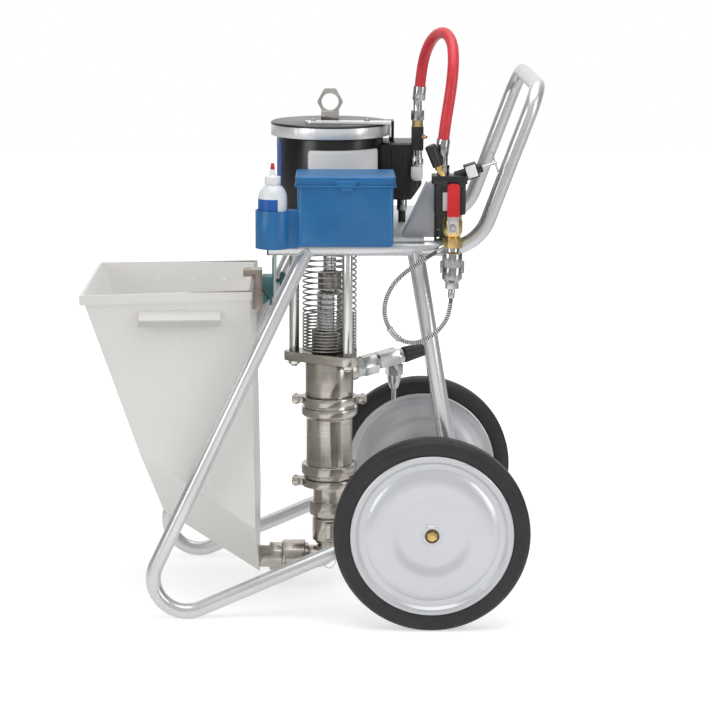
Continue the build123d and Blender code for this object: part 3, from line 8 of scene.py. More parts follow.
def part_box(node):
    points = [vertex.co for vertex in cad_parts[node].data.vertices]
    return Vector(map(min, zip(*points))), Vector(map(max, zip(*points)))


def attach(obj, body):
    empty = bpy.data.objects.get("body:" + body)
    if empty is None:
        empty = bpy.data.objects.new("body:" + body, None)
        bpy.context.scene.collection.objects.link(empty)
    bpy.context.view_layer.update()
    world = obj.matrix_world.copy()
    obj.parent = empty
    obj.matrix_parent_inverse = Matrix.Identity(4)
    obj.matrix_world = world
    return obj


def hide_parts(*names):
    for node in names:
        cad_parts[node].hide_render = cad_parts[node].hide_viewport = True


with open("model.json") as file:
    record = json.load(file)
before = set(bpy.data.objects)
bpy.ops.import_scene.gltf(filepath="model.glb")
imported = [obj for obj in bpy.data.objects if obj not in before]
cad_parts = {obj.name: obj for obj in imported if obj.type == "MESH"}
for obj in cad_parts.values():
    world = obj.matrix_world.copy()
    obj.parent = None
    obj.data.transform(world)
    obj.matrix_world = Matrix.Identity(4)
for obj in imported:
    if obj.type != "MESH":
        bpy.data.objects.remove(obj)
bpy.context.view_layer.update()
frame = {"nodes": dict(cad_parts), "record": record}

# Pump cart dressed for show: finishes on every part of the frame, the two cords, and small
# fittings, fasteners and welds. Metres; +Z up, -X the hopper end, -Y the operator's side.
nodes = frame["nodes"]


def middle(node):
    low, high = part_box(node)
    return (Vector(low) + Vector(high)) / 2


def new_object(name, data):
    """An object in the scene, at the origin."""
    made = bpy.data.objects.new(name, data)
    bpy.context.scene.collection.objects.link(made)
    return made


AXLE = middle("axle")
PUMP = middle("motor_barrel")
BARREL_R = (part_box("motor_barrel")[1][0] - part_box("motor_barrel")[0][0]) / 2
RAIL = Vector((AXLE.x, -0.244, 0.788))
TUBE_R = 0.015875

# ------------------------------------------------------------------ camera
VIEW_FROM = Vector((0.0400, -5.0955, 1.5121))
VIEW_DOWN = math.radians(11.055)
VIEW_TURN = math.radians(0.617)
VIEW_ROLL = math.radians(0.266)
LENS_MM = 121.5


def make_camera():
    """Long lens from the operator's side, a little above the motor."""
    ahead = Vector((
        math.sin(VIEW_TURN) * math.cos(VIEW_DOWN),
        math.cos(VIEW_TURN) * math.cos(VIEW_DOWN),
        -math.sin(VIEW_DOWN),
    ))
    level = Vector((math.cos(VIEW_TURN), -math.sin(VIEW_TURN), 0))
    upward = level.cross(ahead)
    right = level * math.cos(VIEW_ROLL) + upward * math.sin(VIEW_ROLL)
    above = upward * math.cos(VIEW_ROLL) - level * math.sin(VIEW_ROLL)
    data = bpy.data.cameras.new("camera")
    data.lens = LENS_MM
    data.sensor_width = 36
    data.clip_end = 60
    camera = new_object("camera", data)
    turn = Matrix((right, above, -ahead)).transposed()
    camera.matrix_world = Matrix.Translation(VIEW_FROM) @ turn.to_4x4()
    bpy.context.scene.camera = camera


# ------------------------------------------------------------------ material tools
def spread(tree, source, low, high, to_low, to_high):
    """Spreads a value between two limits over a new range, clamped."""
    node = tree.nodes.new("ShaderNodeMapRange")
    for key, value in (("From Min", low), ("From Max", high), ("To Min", to_low), ("To Max", to_high)):
        if isinstance(value, bpy.types.NodeSocket):
            tree.links.new(value, node.inputs[key])
        else:
            node.inputs[key].default_value = value
    tree.links.new(source, node.inputs["Value"])
    return node.outputs["Result"]


class Finish:
    """A procedural material: one Principled shader and short calls that wire nodes into it."""

    def __init__(self, name, colour, rough=0.4, metal=0.0, **sockets):
        self.material = bpy.data.materials.new(name)
        self.material.use_nodes = True
        self.tree = self.material.node_tree
        self.shader = self.tree.nodes["Principled BSDF"]
        self.place = self.add("ShaderNodeTexCoord").outputs["Object"]
        self.set("Base Color", (*colour, 1))
        self.set("Roughness", rough)
        self.set("Metallic", metal)
        for socket, value in sockets.items():
            self.set(socket.replace("_", " "), value)

    def add(self, kind, **values):
        node = self.tree.nodes.new(kind)
        for key, value in values.items():
            setattr(node, key, value)
        return node

    def set(self, socket, value):
        self.shader.inputs[socket].default_value = value

    def link(self, source, target):
        self.tree.links.new(source, target)

    def give(self, value, target):
        """Puts a socket, a number or a colour into an input."""
        if isinstance(value, bpy.types.NodeSocket):
            self.link(value, target)
        elif isinstance(value, tuple) and len(target.default_value) == 4:
            target.default_value = (*value[:3], 1)
        else:
            target.default_value = value

    def stretched(self, scale, shift=(0, 0, 0), turn=(0, 0, 0)):
        """Object coordinates, scaled along each axis and shifted or turned."""
        node = self.add("ShaderNodeMapping")
        node.inputs["Scale"].default_value = scale
        node.inputs["Location"].default_value = shift
        node.inputs["Rotation"].default_value = turn
        self.link(self.place, node.inputs["Vector"])
        return node.outputs["Vector"]

    def noise(self, scale, detail=3.0, vector=None, rough=0.5):
        node = self.add("ShaderNodeTexNoise")
        node.inputs["Scale"].default_value = scale
        node.inputs["Detail"].default_value = detail
        node.inputs["Roughness"].default_value = rough
        self.link(self.place if vector is None else vector, node.inputs["Vector"])
        return node.outputs["Fac"]

    def band(self, source, low, high, to_low=0.0, to_high=1.0):
        return spread(self.tree, source, low, high, to_low, to_high)

    def math(self, operation, first, second):
        node = self.add("ShaderNodeMath", operation=operation)
        self.give(first, node.inputs[0])
        self.give(second, node.inputs[1])
        return node.outputs["Value"]

    def blend(self, amount, first, second):
        """Mix of two colours, each a tuple or a socket."""
        node = self.add("ShaderNodeMix", data_type="RGBA")
        self.give(amount, node.inputs[0])
        self.give(first, node.inputs[6])
        self.give(second, node.inputs[7])
        return node.outputs[2]

    def mix(self, amount, first, second):
        """Mix of two numbers or sockets."""
        node = self.add("ShaderNodeMix", data_type="FLOAT")
        self.give(amount, node.inputs[0])
        self.give(first, node.inputs[2])
        self.give(second, node.inputs[3])
        return node.outputs[0]

    def along(self, where):
        """Distance along an axis: X, Y or Z, or (a point, a direction)."""
        if isinstance(where, str):
            node = self.add("ShaderNodeSeparateXYZ")
            self.link(self.place, node.inputs["Vector"])
            return node.outputs[where]
        start, heading = Vector(where[0]), Vector(where[1]).normalized()
        node = self.add("ShaderNodeVectorMath", operation="DOT_PRODUCT")
        self.link(self.place, node.inputs[0])
        node.inputs[1].default_value = heading
        return self.math("SUBTRACT", node.outputs["Value"], start.dot(heading))

    def round_about(self, centre, flat=(1, 0, 1)):
        """Distance from an axis through a point, parallel to the axis that flat leaves out."""
        shift = tuple(-c * f for c, f in zip(centre, flat))
        node = self.add("ShaderNodeVectorMath", operation="LENGTH")
        self.link(self.stretched(flat, shift), node.inputs[0])
        return node.outputs["Value"]

    def inside(self, *limits):
        """One inside all the limits, each (axis, low, high), and nought outside."""
        whole = None
        soft = 0.0002
        for where, low, high in limits:
            reach = self.along(where)
            for edge, rising in ((low, True), (high, False)):
                if edge is None:
                    continue
                side = self.band(reach, edge - soft, edge + soft, 0 if rising else 1, 1 if rising else 0)
                whole = side if whole is None else self.math("MULTIPLY", whole, side)
        return whole

    def use(self, socket, source):
        self.link(source, self.shader.inputs[socket])

    def bump(self, height, depth, strength=1.0):
        node = self.add("ShaderNodeBump")
        node.inputs["Strength"].default_value = strength
        node.inputs["Distance"].default_value = depth
        self.link(height, node.inputs["Height"])
        self.use("Normal", node.outputs["Normal"])


def mottle(finish, dark, light, scale=9.0, detail=4.0):
    """Base colour that drifts softly between two tones."""
    drift = finish.band(finish.noise(scale, detail), 0.3, 0.7)
    finish.use("Base Color", finish.blend(drift, dark, light))


def brushed(name, dark, light, rough, stretch, metal=1.0, depth=0.00001, scale=1.0, lines_share=0.4):
    """Metal with fine lines along one direction."""
    finish = Finish(name, light, rough, metal)
    lines = finish.noise(220 * scale, 2.0, finish.stretched(stretch))
    drift = finish.noise(5.0, 3.0)
    tone = finish.mix(lines_share, drift, lines)
    finish.use("Base Color", finish.blend(finish.band(tone, 0.34, 0.66), dark, light))
    finish.use("Roughness", finish.band(tone, 0.3, 0.7, rough - 0.04, rough + 0.06))
    finish.bump(lines, depth, 0.4)
    return finish


def painted(name, dark, light, rough, metal=0.0, coat=0.0, peel=0.00002):
    """Sprayed enamel: soft drift of tone and a faint orange peel."""
    finish = Finish(name, light, rough, metal, Coat_Weight=coat, Coat_Roughness=0.06)
    mottle(finish, dark, light, 4.0, 2.0)
    fine = finish.noise(900, 1.0)
    finish.use("Roughness", finish.band(finish.noise(12, 2.0), 0.3, 0.7, rough - 0.04, rough + 0.05))
    finish.bump(finish.math("ADD", fine, finish.noise(140, 2.0)), peel, 0.35)
    return finish


def moulded(name, dark, light, rough, grain=0.00003):
    """Moulded plastic: fine pebble grain and a slight change of tone."""
    finish = Finish(name, light, rough, Specular_IOR_Level=0.45)
    mottle(finish, dark, light, 14.0)
    finish.use("Roughness", finish.band(finish.noise(60, 2.0), 0.3, 0.7, rough - 0.05, rough + 0.08))
    finish.bump(finish.noise(1300, 1.0), grain, 0.4)
    return finish


# Dark tone, light tone, roughness and metal share of what the small fittings are made of, and of one painted
# shade.
TONES = {
    "brass": ((0.50, 0.33, 0.11), (0.78, 0.57, 0.25), 0.24, 1.0),
    "copper": ((0.55, 0.25, 0.13), (0.80, 0.44, 0.26), 0.22, 1.0),
    "plated": ((0.27, 0.28, 0.27), (0.66, 0.67, 0.66), 0.17, 1.0),
    "wire": ((0.60, 0.60, 0.60), (0.84, 0.84, 0.83), 0.22, 0.9),
    "steel": ((0.48, 0.46, 0.43), (0.66, 0.64, 0.61), 0.28, 1.0),
    "black": ((0.010, 0.010, 0.011), (0.020, 0.020, 0.021), 0.36, 0.0),
    "milky": ((0.62, 0.63, 0.60), (0.76, 0.77, 0.74), 0.28, 0.0),
    "white": ((0.80, 0.80, 0.80), (0.88, 0.88, 0.87), 0.40, 0.0),
    "pale": ((0.68, 0.685, 0.695), (0.75, 0.755, 0.765), 0.42, 0.10),
    "red": ((0.60, 0.012, 0.018), (0.72, 0.022, 0.030), 0.30, 0.0),
    "teal": ((0.05, 0.17, 0.19), (0.10, 0.26, 0.29), 0.34, 0.0),
    "tan": ((0.34, 0.28, 0.24), (0.50, 0.44, 0.39), 0.34, 0.8),
    "blue": ((0.010, 0.055, 0.28), (0.016, 0.075, 0.36), 0.35, 0.0),
    # Painted shade for the dark ring in the hubs' recesses, round the wheel bolts.
    "grease": ((0.05, 0.035, 0.02), (0.12, 0.09, 0.05), 0.30, 0.3),
}


def zoned(name, first, *zones, fine=0.00001):
    """A part made of several stuffs: each zone (tone, limits) takes over inside its limits."""
    dark, light, rough, metal = TONES[first]
    finish = Finish(name, light, rough, metal)
    drift = finish.band(finish.noise(26, 3.0), 0.3, 0.7)
    colour = finish.blend(drift, dark, light)
    for tone, *limits in zones:
        inside = finish.inside(*limits)
        dark, light, other_rough, other_metal = TONES[tone]
        colour = finish.blend(inside, colour, finish.blend(drift, dark, light))
        rough = finish.mix(inside, rough, other_rough)
        metal = finish.mix(inside, metal, other_metal)
    finish.use("Base Color", colour)
    if zones:
        finish.use("Roughness", rough)
        finish.use("Metallic", metal)
    finish.bump(finish.noise(500, 2.0), fine, 0.4)
    return finish


# ------------------------------------------------------------------ finishes of this cart
frame_enamel = painted(
    "frame_enamel", (0.62, 0.625, 0.635), (0.72, 0.725, 0.735), 0.28, metal=0.70, peel=0.000005
)
deck_enamel = painted("deck_enamel", (0.54, 0.545, 0.555), (0.64, 0.645, 0.655), 0.36, metal=0.45)
chromed_rod = brushed("chromed_rod", (0.60, 0.60, 0.60), (0.80, 0.80, 0.80), 0.12, (0.02, 0.02, 1.0), scale=4)
bright_band = brushed(
    "bright_band", (0.74, 0.745, 0.75), (0.84, 0.845, 0.85), 0.32, (0.05, 0.05, 1.0),
    scale=2, metal=0.6, lines_share=0.2,
)
zinc_plate = brushed("zinc_plate", (0.26, 0.275, 0.27), (0.62, 0.635, 0.62), 0.17, (0.4, 0.4, 0.4), scale=0.4)
rod_zinc = brushed("rod_zinc", (0.62, 0.64, 0.60), (0.80, 0.82, 0.80), 0.18, (1.0, 1.0, 0.02), scale=0.5)
motor_enamel = painted("motor_enamel", (0.005, 0.005, 0.005), (0.009, 0.008, 0.009), 0.30)
black_moulding = moulded("black_moulding", (0.010, 0.010, 0.011), (0.022, 0.022, 0.024), 0.40)
blue_moulding = moulded("blue_moulding", (0.013, 0.128, 0.335), (0.020, 0.168, 0.405), 0.34, grain=0.00001)
packing_cord = moulded("packing_cord", (0.62, 0.60, 0.54), (0.78, 0.76, 0.70), 0.6)
coil_steel = brushed("coil_steel", (0.26, 0.25, 0.24), (0.48, 0.47, 0.45), 0.24, (1, 1, 1), scale=0.6)
dark_steel = brushed("dark_steel", (0.16, 0.15, 0.14), (0.38, 0.36, 0.34), 0.26, (0.02, 0.02, 1.0), scale=2)


def make_sheet_stainless():
    """Satin sheet: very fine upright brushing, a cloudy change of tone, painted light that makes the inside
    of the walls paler, and a band of painted shade along the top of the rim.
    """
    finish = Finish("sheet_stainless", (0.80, 0.79, 0.76), 0.38, 0.30)
    lines = finish.noise(700, 1.0, finish.stretched((1.0, 1.0, 0.03)))
    cloud = finish.noise(2.6, 3.0)
    tone = finish.band(finish.mix(0.25, cloud, lines), 0.35, 0.65)
    outside = finish.blend(tone, (0.76, 0.745, 0.72), (0.83, 0.82, 0.795))
    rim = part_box("hopper_shell")[1][2]
    # Painted light: faces turned towards the hopper's middle, the inside of the walls, are painted paler than
    # the outside.
    heart = middle("hopper_shell")
    outward = finish.add("ShaderNodeVectorMath", operation="DOT_PRODUCT")
    finish.link(finish.stretched((1, 1, 1), -heart), outward.inputs[0])
    finish.link(finish.add("ShaderNodeNewGeometry").outputs["Normal"], outward.inputs[1])
    painted_light_inside = finish.band(outward.outputs["Value"], 0.0, -0.02)
    colour = finish.blend(painted_light_inside, outside, (0.97, 0.96, 0.94))
    # Painted shade: the top 3.2 mm of the sheet, along the rim, is painted dark brown.
    painted_rim_shade = finish.inside(("Z", rim - 0.0032, None))
    finish.use("Base Color", finish.blend(painted_rim_shade, colour, (0.30, 0.27, 0.24)))
    finish.use("Roughness", finish.band(cloud, 0.3, 0.7, 0.34, 0.44))
    finish.bump(lines, 0.000003, 0.3)
    return finish


def make_wheel_enamel():
    """Pressed disc in silver enamel, with painted shade darkening the rolled ring near the rim."""
    finish = Finish("wheel_enamel", (0.66, 0.67, 0.69), 0.30, 0.45, Coat_Weight=0.35, Coat_Roughness=0.10)
    cloud = finish.noise(3.0, 2.0)
    reach = finish.round_about(AXLE)
    # Painted shade: the rolled ring near the rim takes the darker tone.
    painted_ring_shade = finish.math("MULTIPLY", finish.band(reach, 0.150, 0.158), finish.band(reach, 0.170, 0.163))
    tone = finish.mix(painted_ring_shade, finish.band(cloud, 0.3, 0.7), 0.0)
    finish.use("Base Color", finish.blend(tone, (0.60, 0.61, 0.63), (0.69, 0.70, 0.725)))
    finish.use("Roughness", finish.band(cloud, 0.3, 0.7, 0.26, 0.34))
    finish.bump(finish.noise(240, 2.0), 0.00001, 0.3)
    return finish


def make_cast_stainless():
    """Polished castings: warm grey, with faint turning lines and stains."""
    finish = Finish("cast_stainless", (0.50, 0.47, 0.43), 0.24, 1.0)
    lines = finish.noise(420, 1.0, finish.stretched((0.02, 0.02, 1.0)))
    cloud = finish.noise(14, 3.0)
    tone = finish.band(finish.mix(0.22, cloud, lines), 0.33, 0.66)
    finish.use("Base Color", finish.blend(tone, (0.35, 0.315, 0.275), (0.62, 0.585, 0.54)))
    finish.use("Roughness", finish.band(cloud, 0.3, 0.7, 0.18, 0.29))
    finish.bump(lines, 0.000006, 0.35)
    return finish


def make_tyre_rubber():
    """Black tyre: rings moulded in the side wall, and a dull bloom on the tread."""
    finish = Finish("tyre_rubber", (0.020, 0.020, 0.021), 0.60)
    reach = finish.round_about(AXLE)
    mottle(finish, (0.016, 0.015, 0.016), (0.026, 0.025, 0.026), 12)
    finish.use("Roughness", finish.band(finish.noise(45, 4.0), 0.3, 0.7, 0.50, 0.66))
    rings = finish.math("SINE", finish.math("MULTIPLY", reach, 2600.0), 0.0)
    near_rim = finish.math("MULTIPLY", finish.band(reach, 0.171, 0.173), finish.band(reach, 0.181, 0.179))
    height = finish.math("ADD", finish.math("MULTIPLY", rings, near_rim), finish.noise(500, 2.0))
    finish.bump(height, 0.00012, 0.6)
    return finish


def make_hose_rubber():
    """Red air hose: smooth cover with faint marks of the wrapping tape."""
    finish = Finish("hose_rubber", (0.66, 0.035, 0.05), 0.34)
    mottle(finish, (0.60, 0.030, 0.044), (0.74, 0.048, 0.062), 30)
    finish.use("Roughness", finish.band(finish.noise(50, 2.0), 0.3, 0.7, 0.30, 0.42))
    finish.bump(finish.noise(500, 2.0), 0.00003, 0.4)
    return finish


def make_cable_steel():
    """Stranded cable under a grey wrap; its near-black tone is partly the cable's own and partly painted
    shade for the gaps between the wrap's rings.
    """
    finish = Finish("cable_steel", (0.12, 0.12, 0.12), 0.40, 0.3)
    mottle(finish, (0.06, 0.06, 0.06), (0.16, 0.16, 0.155), 260)
    finish.bump(finish.noise(900, 2.0), 0.00006, 0.5)
    return finish


def make_bottle_plastic():
    """Milky bottle with a plain blue band, a white cap and a red nozzle, told apart by height."""
    finish = Finish("bottle_plastic", (0.78, 0.80, 0.82), 0.30, Subsurface_Weight=0.2)
    finish.set("Subsurface Radius", (0.01, 0.01, 0.01))
    cloud = finish.band(finish.noise(25, 2.0), 0.3, 0.7)
    colour = finish.blend(cloud, (0.70, 0.74, 0.77), (0.80, 0.83, 0.85))
    band = finish.inside(("Z", 0.868, 0.8965), ("X", None, -0.0655))
    colour = finish.blend(band, colour, (0.012, 0.11, 0.42))
    colour = finish.blend(finish.inside(("Z", 0.9251, None)), colour, (0.84, 0.84, 0.84))
    colour = finish.blend(finish.inside(("Z", 0.9551, None)), colour, (0.58, 0.025, 0.03))
    finish.use("Base Color", colour)
    finish.bump(finish.noise(500, 1.0), 0.00002, 0.4)
    return finish


sheet_stainless = make_sheet_stainless()
# Painted shade: the pulls are the hopper's own stainless, given a darker tone than the sheet.
pull_painted_shade = brushed(
    "pull_painted_shade", (0.52, 0.51, 0.49), (0.58, 0.57, 0.55), 0.42, (0.03, 1.0, 1.0),
    metal=0.30, scale=3, lines_share=0.25,
)
wheel_enamel = make_wheel_enamel()
cast_stainless = make_cast_stainless()
tyre_rubber = make_tyre_rubber()
hose_rubber = make_hose_rubber()
cable_steel = make_cable_steel()
bottle_plastic = make_bottle_plastic()

FINISH_OF_SLOT = {
    "frame_paint": frame_enamel,
    "deck_paint": deck_enamel,
    "black_plastic": black_moulding,
    "tyre": tyre_rubber,
    "wheel_paint": wheel_enamel,
    "stainless_sheet": sheet_stainless,
    "cast_stainless": cast_stainless,
    "plated_steel": zinc_plate,
    "hard_chrome": chromed_rod,
    "motor_black": motor_enamel,
    "band_silver": bright_band,
    "blue_plastic": blue_moulding,
    "red_rubber": hose_rubber,
    "cable_steel": cable_steel,
    "bottle_white": bottle_plastic,
    "packing": packing_cord,
    "ball_steel": chromed_rod,
}

# Axes of the inclined pieces on the regulator, and of the barb on the air inlet.
ADJUSTER = ((0.2905, -0.275, 0.940), (math.cos(math.radians(18)), 0, math.sin(math.radians(18))))
ACROSS_ADJUSTER = (ADJUSTER[0], (-ADJUSTER[1][2], 0, ADJUSTER[1][0]))
RELIEF = ((0.265, -0.2945, 0.942), (-math.sin(math.radians(23)), 0, math.cos(math.radians(23))))
BARB = ((0.2225, -0.050, 0.997), (1, -1, 0))

# The axle's ends down in the hubs' recesses, round the bolts, take the near-black painted shade; the bolt
# heads are brass.
axle_ends = zoned(
    "axle_ends", "steel",
    ("grease", ("Y", None, -0.3200)),
    ("grease", ("Y", 0.3200, None)),
    ("brass", ("Y", None, -0.3275)),
    ("brass", ("Y", 0.3275, None)),
)
inlet_metals = zoned(
    "inlet_metals", "black",
    ("brass", ("Z", 1.018, None)),
    ("copper", (BARB, 0.0178, None)),
    ("plated", ("Z", 0.934, 0.968), ("X", 0.205, None)),
    ("milky", ("Z", 0.904, 0.934), ("X", 0.205, None)),
    ("plated", ("Z", 0.835, 0.8602), ("X", None, 0.205)),
)
bracket_paints = zoned("bracket_paints", "pale", ("black", ("Y", None, -0.2381)))
regulator_metals = zoned(
    "regulator_metals", "black",
    ("brass", ("Z", 0.9423, None), (RELIEF, None, 0.022), ("X", None, 0.272)),
    ("white", (ADJUSTER, 0.0245, 0.0455), (ACROSS_ADJUSTER, -0.0125, 0.0125), ("Y", None, -0.2896)),
)
tee_steel = zoned("tee_steel", "plated")
valve_brass = zoned("valve_brass", "brass", ("steel", ("Y", None, -0.3055)), fine=0.00002)
lever_vinyl = zoned("lever_vinyl", "steel", ("red", ("Z", 0.861, None)))
mount_metals = zoned("mount_metals", "tan", ("teal", ("X", -0.104, None)))
knob_teal = zoned("knob_teal", "teal")
bright_plate = zoned("bright_plate", "plated")
bright_wire = zoned("bright_wire", "wire")
plain_white = zoned("plain_white", "white")
plain_blue = zoned("plain_blue", "blue")
cut_steel = zoned("cut_steel", "steel")
window_milky = zoned("window_milky", "milky")

FINISH_OF_NODE = {
    "axle": axle_ends,
    "air_manifold": inlet_metals,
    "control_brackets": bracket_paints,
    "regulator_head": regulator_metals,
    "regulator_body": black_moulding,
    "tee_handle": tee_steel,
    "ball_valve_body": valve_brass,
    "ball_valve_lever": lever_vinyl,
    "hopper_mount": mount_metals,
    "hopper_knob": knob_teal,
    "hopper_handles": pull_painted_shade,
    "hose_fittings": bright_plate,
    "claw_coupling": bright_plate,
    "lifting_eye": cut_steel,
    "tie_rods": rod_zinc,
    "coil_guard": coil_steel,
    "coupling_collar": dark_steel,
    "wet_cup": dark_steel,
}

# How far each node's sharp edges are rounded; the rest take the usual small radius.
SHARP_ANGLE = math.radians(32)
USUAL_EDGE = 0.0006
EDGE_OF_NODE = {
    "regulator_body": 0.0015,
    "air_valve_housing": 0.002,
    "tyre_near": 0.002,
    "tyre_far": 0.002,
    "toolbox_body": 0.0012,
    "toolbox_lid": 0.0012,
}
NO_EDGE = {"hopper_shell", "intake_ball", "piston_ball", "coil_guard"}
FOLDED_SHEET = {"hopper_shell", "hopper_handles"}


def dress_nodes():
    """Gives every carried-over part its finish, smooth shading and softened edges."""
    slot_of = {entry["node"]: entry["material_slot"] for entry in frame["record"]["subparts"]}
    for name, node in nodes.items():
        finish = FINISH_OF_NODE.get(name) or FINISH_OF_SLOT[slot_of[name]]
        node.data.materials.clear()
        node.data.materials.append(finish.material)
        for face in node.data.polygons:
            face.use_smooth = name not in FOLDED_SHEET
        weld = node.modifiers.new("weld", "WELD")
        weld.merge_threshold = 0.00001
        if name not in NO_EDGE:
            edge = node.modifiers.new("edge", "BEVEL")
            edge.width = EDGE_OF_NODE.get(name, USUAL_EDGE)
            edge.segments = 2
            edge.limit_method = "ANGLE"
            edge.angle_limit = SHARP_ANGLE
            edge.harden_normals = True
            edge.use_clamp_overlap = True


# ------------------------------------------------------------------ mesh tools
def mesh_piece(name, verts, faces, finish, body, smooth=True):
    """A finished piece from its points and faces, riding on a body."""
    mesh = bpy.data.meshes.new(name)
    mesh.from_pydata([tuple(v) for v in verts], [], faces)
    mesh.update()
    for face in mesh.polygons:
        face.use_smooth = smooth
    piece = new_object(name, mesh)
    mesh.materials.append(finish.material)
    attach(piece, body)
    return piece


def squared(direction):
    """Two unit vectors square to a direction."""
    ahead = Vector(direction).normalized()
    guide = Vector((0, 0, 1)) if abs(ahead.z) < 0.9 else Vector((1, 0, 0))
    first = ahead.cross(guide).normalized()
    return first, first.cross(ahead)


def swept(path, radii, sides, closed=False):
    """Points and faces of a tube along a path, with a radius at each point and flat caps on an open path's
    ends.
    """
    verts, faces = [], []
    count = len(path)
    first = None
    for index, place in enumerate(path):
        before = path[index - 1] if closed or index else path[index]
        after = path[(index + 1) % count] if closed or index + 1 < count else path[index]
        ahead = (Vector(after) - Vector(before)).normalized()
        if first is None:
            first = squared(ahead)[0]
        first = (first - ahead * first.dot(ahead)).normalized()
        second = first.cross(ahead)
        for step in range(sides):
            angle = 2 * math.pi * step / sides
            verts.append(Vector(place) + (first * math.cos(angle) + second * math.sin(angle)) * radii[index])
    for index in range(count if closed else count - 1):
        here, there = index * sides, (index + 1) % count * sides
        for step in range(sides):
            after = (step + 1) % sides
            faces.append((here + step, here + after, there + after, there + step))
    if not closed:
        faces.append(tuple(range(sides - 1, -1, -1)))
        faces.append(tuple(range((count - 1) * sides, count * sides)))
    return verts, faces


PLATE_PROUD = 0.0005


def wrapped_plate(name, left, right, low, high, finish):
    """Bare plate with rounded corners that lies on the motor's barrel between two angles in degrees."""
    left, right = math.radians(left), math.radians(right)
    corner = 0.006
    columns, rows = 40, 10
    radius = BARREL_R + PLATE_PROUD
    verts, faces = [], []
    half_wide = radius * (right - left) / 2
    half_high = (high - low) / 2
    for layer in (PLATE_PROUD, 0.0):
        for row in range(rows + 1):
            for column in range(columns + 1):
                across = (2 * column / columns - 1) * half_wide
                up = (2 * row / rows - 1) * half_high
                over_x = max(0, abs(across) - (half_wide - corner))
                over_z = max(0, abs(up) - (half_high - corner))
                if over_x and over_z:
                    shrink = corner / max(math.hypot(over_x, over_z), corner)
                    across = math.copysign(half_wide - corner + over_x * shrink, across)
                    up = math.copysign(half_high - corner + over_z * shrink, up)
                angle = (left + right) / 2 + across / radius
                reach = BARREL_R + layer
                verts.append((
                    PUMP.x + reach * math.sin(angle),
                    PUMP.y - reach * math.cos(angle),
                    (low + high) / 2 + up,
                ))
    wide = columns + 1
    back = wide * (rows + 1)
    for row in range(rows):
        for column in range(columns):
            a = row * wide + column
            faces.append((a, a + 1, a + 1 + wide, a + wide))
            faces.append((back + a, back + a + wide, back + a + 1 + wide, back + a + 1))
    edge = list(range(wide))
    edge += [r * wide + columns for r in range(1, rows + 1)]
    edge += [rows * wide + c for c in range(columns - 1, -1, -1)]
    edge += [r * wide for r in range(rows - 1, 0, -1)]
    for a, b in zip(edge, edge[1:] + edge[:1]):
        faces.append((b, a, back + a, back + b))
    return mesh_piece(name, verts, faces, finish, "cart")


